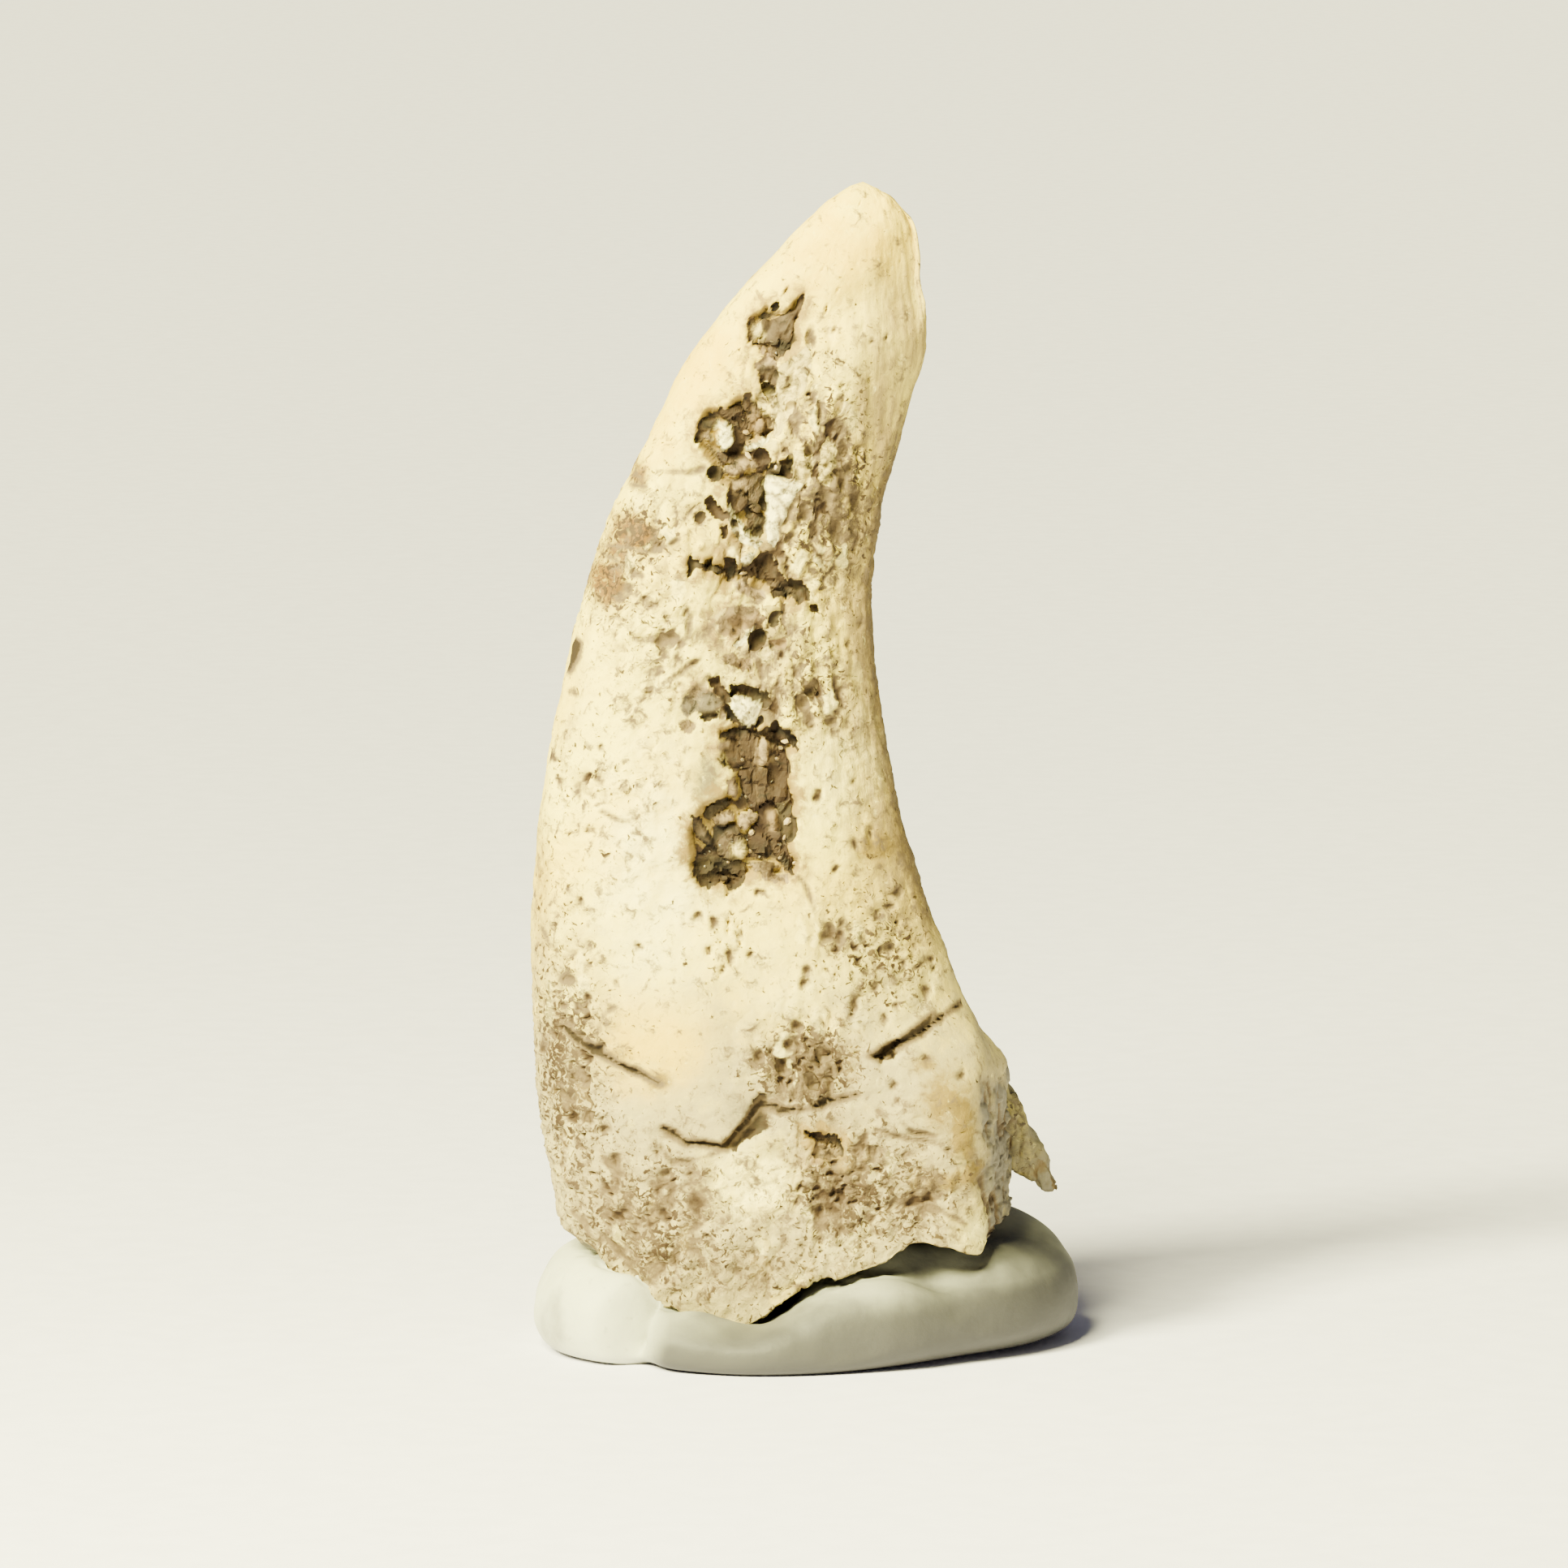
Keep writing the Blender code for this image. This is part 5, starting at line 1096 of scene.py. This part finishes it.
# Mineral with flat crystals fills the holes, and grime lies on the chips in it.
cells, _ = broken_cells(tree, place, CRYSTALS_PER_MM, 1.0)
lump = add(tree, "ShaderNodeSeparateXYZ", {0: cells.outputs["Color"]})
mineral = lay_over(tree, MINERAL_OLIVE, MINERAL_BROWN, noises["blotchy"], 0.4, 0.6)
redness = add(tree, "ShaderNodeMath", {0: mask["redness"], 1: noises["cloudy"]},
              operation="MULTIPLY")
mineral = lay_over(tree, mineral, MINERAL_RED, redness, 0.3, 0.6)
mineral = lay_over(tree, mineral, MINERAL_GREY, lump.outputs[2], 0.7, 0.8)
mineral = lay_over(tree, mineral, MINERAL_DARK, cells.outputs["Distance"], 0.5, 0.9)
stained = add(tree, "ShaderNodeMath", {0: noises["blotchy"], 1: 0.2, 2: mask["hollow"]},
              operation="MULTIPLY_ADD")
colour = lay_over(tree, colour, WATER_STAIN, stained, 0.02, 0.18)
ragged_hole = add(tree, "ShaderNodeMath", {0: noises["fine"], 1: 0.14, 2: mask["hollow"]},
                  operation="MULTIPLY_ADD")
colour = lay_over(tree, colour, mineral, ragged_hole, 0.14, 0.28)
grimy_chip = chip_paint
for tint, pattern, low, high in ((MINERAL_BROWN, "blotchy", 0.4, 0.68),
                                 (MINERAL_TAN, "fibrous", 0.6, 0.9),
                                 (MINERAL_DARK, "speckled", 0.5, 0.74)):
    grimy_chip = lay_over(tree, grimy_chip, tint, noises[pattern], low, high)
ragged_chip = add(tree, "ShaderNodeMath", {0: noises["fine"], 1: 0.6, 2: mask["chip"]},
                  operation="MULTIPLY_ADD")
colour = lay_over(tree, colour, grimy_chip, ragged_chip, 0.7, 1.0)
ragged_crack = add(tree, "ShaderNodeMath", {0: noises["fine"], 1: 0.08, 2: mask["crack"]},
                   operation="MULTIPLY_ADD")
colour = lay_over(tree, colour, GRIME, ragged_crack, -0.16, 0.0)
colour = lay_over(tree, colour, CRACK_BROWN, ragged_crack, -0.01, 0.06)
tree.links.new(colour, shader.inputs["Base Color"])
ridges = add(tree, "ShaderNodeMath", {0: noises["fibrous"], 1: mask["streaks"]},
             operation="MULTIPLY")
ridges = add(tree, "ShaderNodeMath", {0: noises["speckled"], 1: 0.7, 2: ridges},
             operation="MULTIPLY_ADD")
ridges = add(tree, "ShaderNodeMath", {0: noises["fine"], 1: 0.15, 2: ridges},
             operation="MULTIPLY_ADD")
broken_top = add(tree, "ShaderNodeMath", {0: chip_height, 1: mask["rubble"]},
                 operation="MULTIPLY")
ridges = add(tree, "ShaderNodeMath", {0: broken_top, 1: 0.8, 2: ridges},
             operation="MULTIPLY_ADD")
roughening = add(tree, "ShaderNodeMapRange", {0: mask["grit"], 3: 0.35, 4: 1.0})
bump = add(tree, "ShaderNodeBump", {"Strength": roughening, "Distance": 0.00011,
                                    "Height": ridges})
tree.links.new(bump.outputs[0], shader.inputs["Normal"])


def grown(obj, tree, values, name):
    """The plain mesh that a node tree makes of an object, its inputs set by their names."""
    modifier = obj.modifiers.new(tree.name, "NODES")
    modifier.node_group = tree
    for item in tree.interface.items_tree:
        if item.in_out == "INPUT" and item.name in values:
            modifier[item.identifier] = values[item.name]
    graph = bpy.context.evaluated_depsgraph_get()
    mesh = bpy.data.meshes.new_from_object(obj.evaluated_get(graph), depsgraph=graph)
    obj.modifiers.remove(modifier)
    mesh.name = name
    return mesh


# Crystals have flat faces, so the floors of the holes are shaded flat from 0.08 mm inside.
FLAT_INSIDE = 0.08
claw.data = grown(claw, relief, dict(SIZES, Finish=bone), "claw_bone")
claw.data.shade_smooth()
in_hole = claw.data.attributes["hollow"].data
for face in claw.data.polygons:
    if min(in_hole[v].value for v in face.vertices) > FLAT_INSIDE:
        face.use_smooth = False
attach(claw, "root")
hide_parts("claw")


# Loose mineral grains and chips of bone fill the bottoms of the holes, cemented where they fell.
GRAIN_SEED, GRAINS_INSIDE = 7, 0.1
GRAIN_SIZES = {"Grains per square metre": 2.0e6, "Smallest grain": 0.04 * MM,
               "Largest grain": 0.12 * MM}
grains, given = new_tree("cemented grains", {
    **dict.fromkeys(GRAIN_SIZES, "Float"), "Seed": "Int", "Finish": "Material"})
hole = add(grains, "GeometryNodeInputNamedAttribute", {"Name": "hollow"})
inside = add(grains, "FunctionNodeCompare", {0: hole, 1: GRAINS_INSIDE}, operation="GREATER_THAN")
strewn = add(grains, "GeometryNodeDistributePointsOnFaces",
             {"Mesh": given[0], "Selection": inside, "Density": given[1], "Seed": given["Seed"]})
stone = add(grains, "GeometryNodeMeshIcoSphere", {"Radius": 1.0, "Subdivisions": 1})
spin = add(grains, "FunctionNodeRandomValue",
           {0: (0.0, 0.0, 0.0), 1: (6.28, 6.28, 6.28), "Seed": given["Seed"]},
           data_type="FLOAT_VECTOR")
uneven = add(grains, "FunctionNodeRandomValue",
             {0: (0.45, 0.45, 0.45), 1: (1.0, 1.0, 1.6), "Seed": given["Seed"]},
             data_type="FLOAT_VECTOR")
width = add(grains, "FunctionNodeRandomValue",
            {2: given["Smallest grain"], 3: given["Largest grain"], "Seed": given["Seed"]})
width = add(grains, "ShaderNodeVectorMath", {0: uneven, "Scale": width.outputs[1]},
            operation="SCALE")
placed = add(grains, "GeometryNodeInstanceOnPoints",
             {"Points": strewn, "Instance": stone, "Rotation": spin, "Scale": width})
tone = add(grains, "FunctionNodeRandomValue", {"Seed": given["Seed"]})
toned = add(grains, "GeometryNodeStoreNamedAttribute",
            {"Geometry": placed, "Name": "tone", "Value": tone.outputs[1]}, domain="INSTANCE")
whole = add(grains, "GeometryNodeRealizeInstances", {0: toned})
coated = add(grains, "GeometryNodeSetMaterial", {0: whole, "Material": given["Finish"]})
add(grains, "NodeGroupOutput", {0: coated})

# Grains of calcite and iron-stained clay: a little glassy, from clear brown to white.
GRAIN_COLOURS = ("#2a2014", "#4c4029", "#66583f", "#86704a", "#a8926a")
grain_finish, tree, shader = new_finish("cemented calcite grains", {"Roughness": 0.45, "IOR": 1.6})
tone = add(tree, "ShaderNodeAttribute", attribute_name="tone").outputs["Fac"]
in_mm = add(tree, "ShaderNodeMapping", {
    "Vector": add(tree, "ShaderNodeTexCoord").outputs["Object"], "Scale": (1000, 1000, 1000)})
cloud = add(tree, "ShaderNodeTexNoise", {"Vector": in_mm, "Scale": 6.0, "Detail": 3.0})
colour = linear(GRAIN_COLOURS[0])
for i, over in enumerate(GRAIN_COLOURS[1:]):
    colour = lay_over(tree, colour, over, tone, 0.3 + 0.19 * i, 0.38 + 0.19 * i)
colour = lay_over(tree, colour, GRAIN_COLOURS[1], cloud, 0.5, 0.8)
tree.links.new(colour, shader.inputs["Base Color"])
bump = add(tree, "ShaderNodeBump", {"Strength": 0.5, "Distance": 0.00004, "Height": cloud})
tree.links.new(bump.outputs[0], shader.inputs["Normal"])
grain_values = dict(GRAIN_SIZES, Seed=GRAIN_SEED, Finish=grain_finish)
grain_piece = new_object("mineral_grains", grown(claw, grains, grain_values, "mineral_grains"))
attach(grain_piece, "root")


# The putty is one wad of off-white mounting putty, rolled and pressed down by hand, with the claw
# pressed into its top. Its outline from above gives X, Y, crest height and how far the floor edge
# lies under the bulge; its profile runs from the floor edge up and in to the crest.
PUTTY_OUTLINE = (
    (8.45, 1.2, 3.3, 0.84), (8.0, 3.3, 3.9, 0.9), (6.2, 4.8, 4.1, 0.9), (3.2, 5.2, 3.9, 0.91),
    (0.0, 5.3, 3.4, 0.91), (-3.2, 5.2, 3.2, 0.91), (-6.3, 4.4, 3.3, 0.9), (-8.0, 2.2, 3.4, 0.9),
    (-8.45, -0.2, 3.4, 0.91), (-8.05, -2.3, 3.3, 0.9), (-6.7, -3.8, 2.8, 0.88),
    (-5.3, -3.8, 1.9, 0.84), (-4.3, -4.9, 1.75, 0.88), (-2.0, -5.5, 1.4, 0.92),
    (0.5, -5.4, 2.3, 0.9), (2.9, -4.7, 2.9, 0.82), (5.3, -3.4, 3.3, 0.72), (7.5, -1.4, 3.4, 0.76),
)
PUTTY_PROFILE = (
    (0.0, 1.0, 0.0), (0.62, 1.0, 0.07), (0.93, 1.0, 0.2), (1.0, 1.0, 0.38), (1.0, 0.98, 0.6),
    (1.0, 0.92, 0.81), (1.0, 0.83, 0.94), (1.0, 0.7, 1.0), (1.0, 0.5, 1.02), (1.0, 0.25, 1.0),
)
PUTTY_COLUMNS, PUTTY_RINGS = 300, 84
FOLD_START, FOLD_END = (-5.6, -4.3), (-4.4, -2.0)
FOLD_DEPTH, FOLD_WIDTH = 0.55, 0.26
LIP_WIDTH, LIP_DEPTH = 0.55, 0.3
UNDER_HOLLOW = 0.8
PUTTY_MIDDLE = (0.0, 0.0, 1.5)

turns = np.arange(PUTTY_COLUMNS) / PUTTY_COLUMNS * len(PUTTY_OUTLINE)
edge = []
for k in range(4):
    ring = [point[k] for point in PUTTY_OUTLINE]
    table = list(zip(range(-2, len(ring) + 3), ring[-2:] + ring + ring[:3]))
    edge.append(along(table, turns))
steps = np.linspace(0, len(PUTTY_PROFILE) - 1, PUTTY_RINGS)
outward, share, height = (
    along([(i, p[k]) for i, p in enumerate(PUTTY_PROFILE)], steps)[:, None] for k in range(3)
)
reach = share * (edge[3] + (1 - edge[3]) * outward)
wad = np.stack([edge[0] * reach, edge[1] * reach, edge[2] * height], axis=-1).reshape(-1, 3)
wad[:, 2] = np.maximum(wad[:, 2], 0.0)
lifted = ease(0.1, 0.8, wad[:, 2])
dents = 0.12 * fine_noise(wad, 0.4) + 0.05 * fine_noise(wad, 1.1, 3.0)
bone_tree = BVHTree.FromObject(claw, bpy.context.evaluated_depsgraph_get())
fold_x, fold_y = FOLD_END[0] - FOLD_START[0], FOLD_END[1] - FOLD_START[1]
length = math.hypot(fold_x, fold_y)
for i, p in enumerate(wad):
    out = p - PUTTY_MIDDLE
    out /= np.linalg.norm(out)
    p += out * dents[i] * lifted[i]
    aside = ((p[0] - FOLD_START[0]) * fold_y - (p[1] - FOLD_START[1]) * fold_x) / length
    ahead = ((p[0] - FOLD_START[0]) * fold_x + (p[1] - FOLD_START[1]) * fold_y) / length
    fold = FOLD_DEPTH * math.exp(-((aside / FOLD_WIDTH) ** 2)) * ease(2.6, 1.0, abs(ahead))
    p -= out * fold * lifted[i]
    found, _, _, distance = bone_tree.find_nearest(Vector(p) * MM)
    if found and distance < LIP_WIDTH * MM:
        p[2] -= LIP_DEPTH * (1 - distance / (LIP_WIDTH * MM)) ** 2 * lifted[i]
hollow_share = np.exp(-(((wad[:, 0] - 3.9) / 1.3) ** 2) - ((wad[:, 1] + 2.9) / 0.9) ** 2)
wad[:, 2] -= UNDER_HOLLOW * hollow_share * ease(1.0, 2.0, wad[:, 2])
putty_rings = [r * PUTTY_COLUMNS for r in range(PUTTY_RINGS)]
putty_faces = tube_faces(putty_rings, PUTTY_COLUMNS)
for i, ring in enumerate((putty_rings[0], putty_rings[-1])):
    putty_faces += cap_faces(len(wad) + i, ring, PUTTY_COLUMNS)
wad = np.vstack([wad, (0.0, 0.0, 0.0), wad[-PUTTY_COLUMNS:].mean(axis=0)])
putty_mesh = closed_mesh("putty_wad", wad, putty_faces)
putty_piece = new_object("putty_wad", putty_mesh)

# Mounting putty is chalk-filled rubber, kneaded and pressed by hand. It gives the eye a soft, waxy
# off-white with faint smudges and fine dimples.
PUTTY_WHITE, PUTTY_SMUDGE, PUTTY_SHADE_GREY = "#c5c6b5", "#9a9990", "#464546"
putty_finish, tree, shader = new_finish("kneaded mounting putty", {
    "Roughness": 0.55, "IOR": 1.48, "Specular IOR Level": 0.3, "Subsurface Weight": 0.15,
    "Subsurface Radius": (0.9, 0.8, 0.6), "Subsurface Scale": 0.001})
place = add(tree, "ShaderNodeTexCoord").outputs["Object"]
in_mm = add(tree, "ShaderNodeMapping", {"Vector": place, "Scale": (1000, 1000, 1000)})
smudges = add(tree, "ShaderNodeTexNoise", {"Vector": in_mm, "Scale": 0.5, "Detail": 4.0})
specks = add(tree, "ShaderNodeTexNoise", {"Vector": in_mm, "Scale": 3.5, "Detail": 3.0})
colour = lay_over(tree, PUTTY_WHITE, PUTTY_SMUDGE, smudges, 0.45, 0.75)
colour = lay_over(tree, colour, PUTTY_SMUDGE, specks, 0.6, 0.9)
# Painted shade: the wad is darkened towards its inner end, where the claw's shadow falls, and at
# its foot past the fold, and less at the back.
side = add(tree, "ShaderNodeSeparateXYZ", {0: in_mm})
painted_shade = add(tree, "ShaderNodeMapRange", {0: side.outputs[0], 1: -5.0, 2: 8.5, 3: 0.1, 4: 0.78})
past_fold = add(tree, "ShaderNodeMapRange", {0: side.outputs[0], 1: -5.3, 2: -4.2})
shaded_foot = add(tree, "ShaderNodeMapRange", {0: side.outputs[2], 1: 2.4, 2: 0.4, 3: 0.05, 4: 0.9})
shaded_foot = add(tree, "ShaderNodeMath", {0: shaded_foot, 1: past_fold}, operation="MULTIPLY")
painted_shade = add(tree, "ShaderNodeMath", {0: painted_shade, 1: shaded_foot}, operation="ADD")
front = add(tree, "ShaderNodeMapRange", {0: side.outputs[1], 1: 5.0, 2: 0.5, 3: 0.25, 4: 1.0})
painted_shade = add(tree, "ShaderNodeMath", {0: painted_shade, 1: front}, operation="MULTIPLY")
painted_shade = add(tree, "ShaderNodeMath", {0: smudges, 1: 0.4, 2: painted_shade}, operation="MULTIPLY_ADD")
colour = lay_over(tree, colour, PUTTY_SHADE_GREY, painted_shade, 0.15, 1.1)
tree.links.new(colour, shader.inputs["Base Color"])
dimples = add(tree, "ShaderNodeTexNoise", {"Vector": in_mm, "Scale": 1.6, "Detail": 4.0})
bump = add(tree, "ShaderNodeBump", {"Strength": 0.4, "Distance": 0.0001, "Height": dimples})
tree.links.new(bump.outputs[0], shader.inputs["Normal"])
putty_mesh.materials.append(putty_finish)
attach(putty_piece, "root")
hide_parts("putty")


# The studio: a white table top with soft light from the upper left and a pale room around it.
floor_mesh = bpy.data.meshes.new("table_top")
FLOOR = 2.0
CARD, CARD_FIBRE = "#e8e6ff", "#e3e1fa"
floor_mesh.from_pydata([(-FLOOR, -FLOOR, 0), (FLOOR, -FLOOR, 0), (FLOOR, FLOOR, 0),
                        (-FLOOR, FLOOR, 0)], [], [(0, 1, 2, 3)])
floor = new_object("table_top", floor_mesh)
paper, tree, shader = new_finish("matte white card", {
    "Roughness": 0.9, "Specular IOR Level": 0.1})
place = add(tree, "ShaderNodeTexCoord").outputs["Object"]
fibre = add(tree, "ShaderNodeTexNoise", {"Vector": place, "Scale": 900.0})
colour = lay_over(tree, CARD, CARD_FIBRE, fibre, 0.3, 0.7)
tree.links.new(colour, shader.inputs["Base Color"])
floor_mesh.materials.append(paper)

room = bpy.data.worlds.new("pale room")
room.use_nodes = True
room.node_tree.nodes["Background"].inputs["Color"].default_value = linear("#ffffff")
room.node_tree.nodes["Background"].inputs["Strength"].default_value = 0.15
bpy.context.scene.world = room
TO_KEY_LIGHT = Vector((-0.58, -0.52, 0.63))
KEY_STRENGTH, KEY_SPREAD, KEY_TINT = 16.2, 14.0, "#fffbb4"
key_light = bpy.data.lights.new("window_light", "SUN")
key_light.energy, key_light.angle = KEY_STRENGTH, math.radians(KEY_SPREAD)
key_light.color = linear(KEY_TINT)[:3]
key_object = new_object("window_light", key_light)
key_object.rotation_euler = (-TO_KEY_LIGHT).to_track_quat("-Z", "Y").to_euler()
TOP_LIGHT_PLACE, TOP_LIGHT_WIDTH, TOP_LIGHT_POWER = Vector((-0.035, -0.065, 0.085)), 0.04, 0.5
top_light = bpy.data.lights.new("top_softbox", "AREA")
top_light.size, top_light.energy = TOP_LIGHT_WIDTH, TOP_LIGHT_POWER
top_light.color = linear(KEY_TINT)[:3]
top_object = new_object("top_softbox", top_light)
top_object.location = TOP_LIGHT_PLACE
top_object.rotation_euler = (Vector((0, 0, 0.032)) - TOP_LIGHT_PLACE).to_track_quat(
    "-Z", "Y").to_euler()
top_object.visible_camera = False

camera = bpy.data.cameras.new("camera")
CAMERA_TARGET, CAMERA_DISTANCE, CAMERA_RISE = Vector((-0.00073, 0.0, 0.01753)), 0.3, 8.0
VIEW_WIDTH = 0.0483
camera.sensor_width = 36.0
camera.lens = camera.sensor_width * CAMERA_DISTANCE / VIEW_WIDTH
camera.clip_start, camera.clip_end = 0.01, 10.0
camera_object = new_object("camera", camera)
rise = math.radians(CAMERA_RISE)
towards_camera = Vector((0.0, -math.cos(rise), math.sin(rise)))
camera_object.location = CAMERA_TARGET + CAMERA_DISTANCE * towards_camera
camera_object.rotation_euler = Euler((math.pi / 2 - rise, 0.0, 0.0))
bpy.context.scene.camera = camera_object
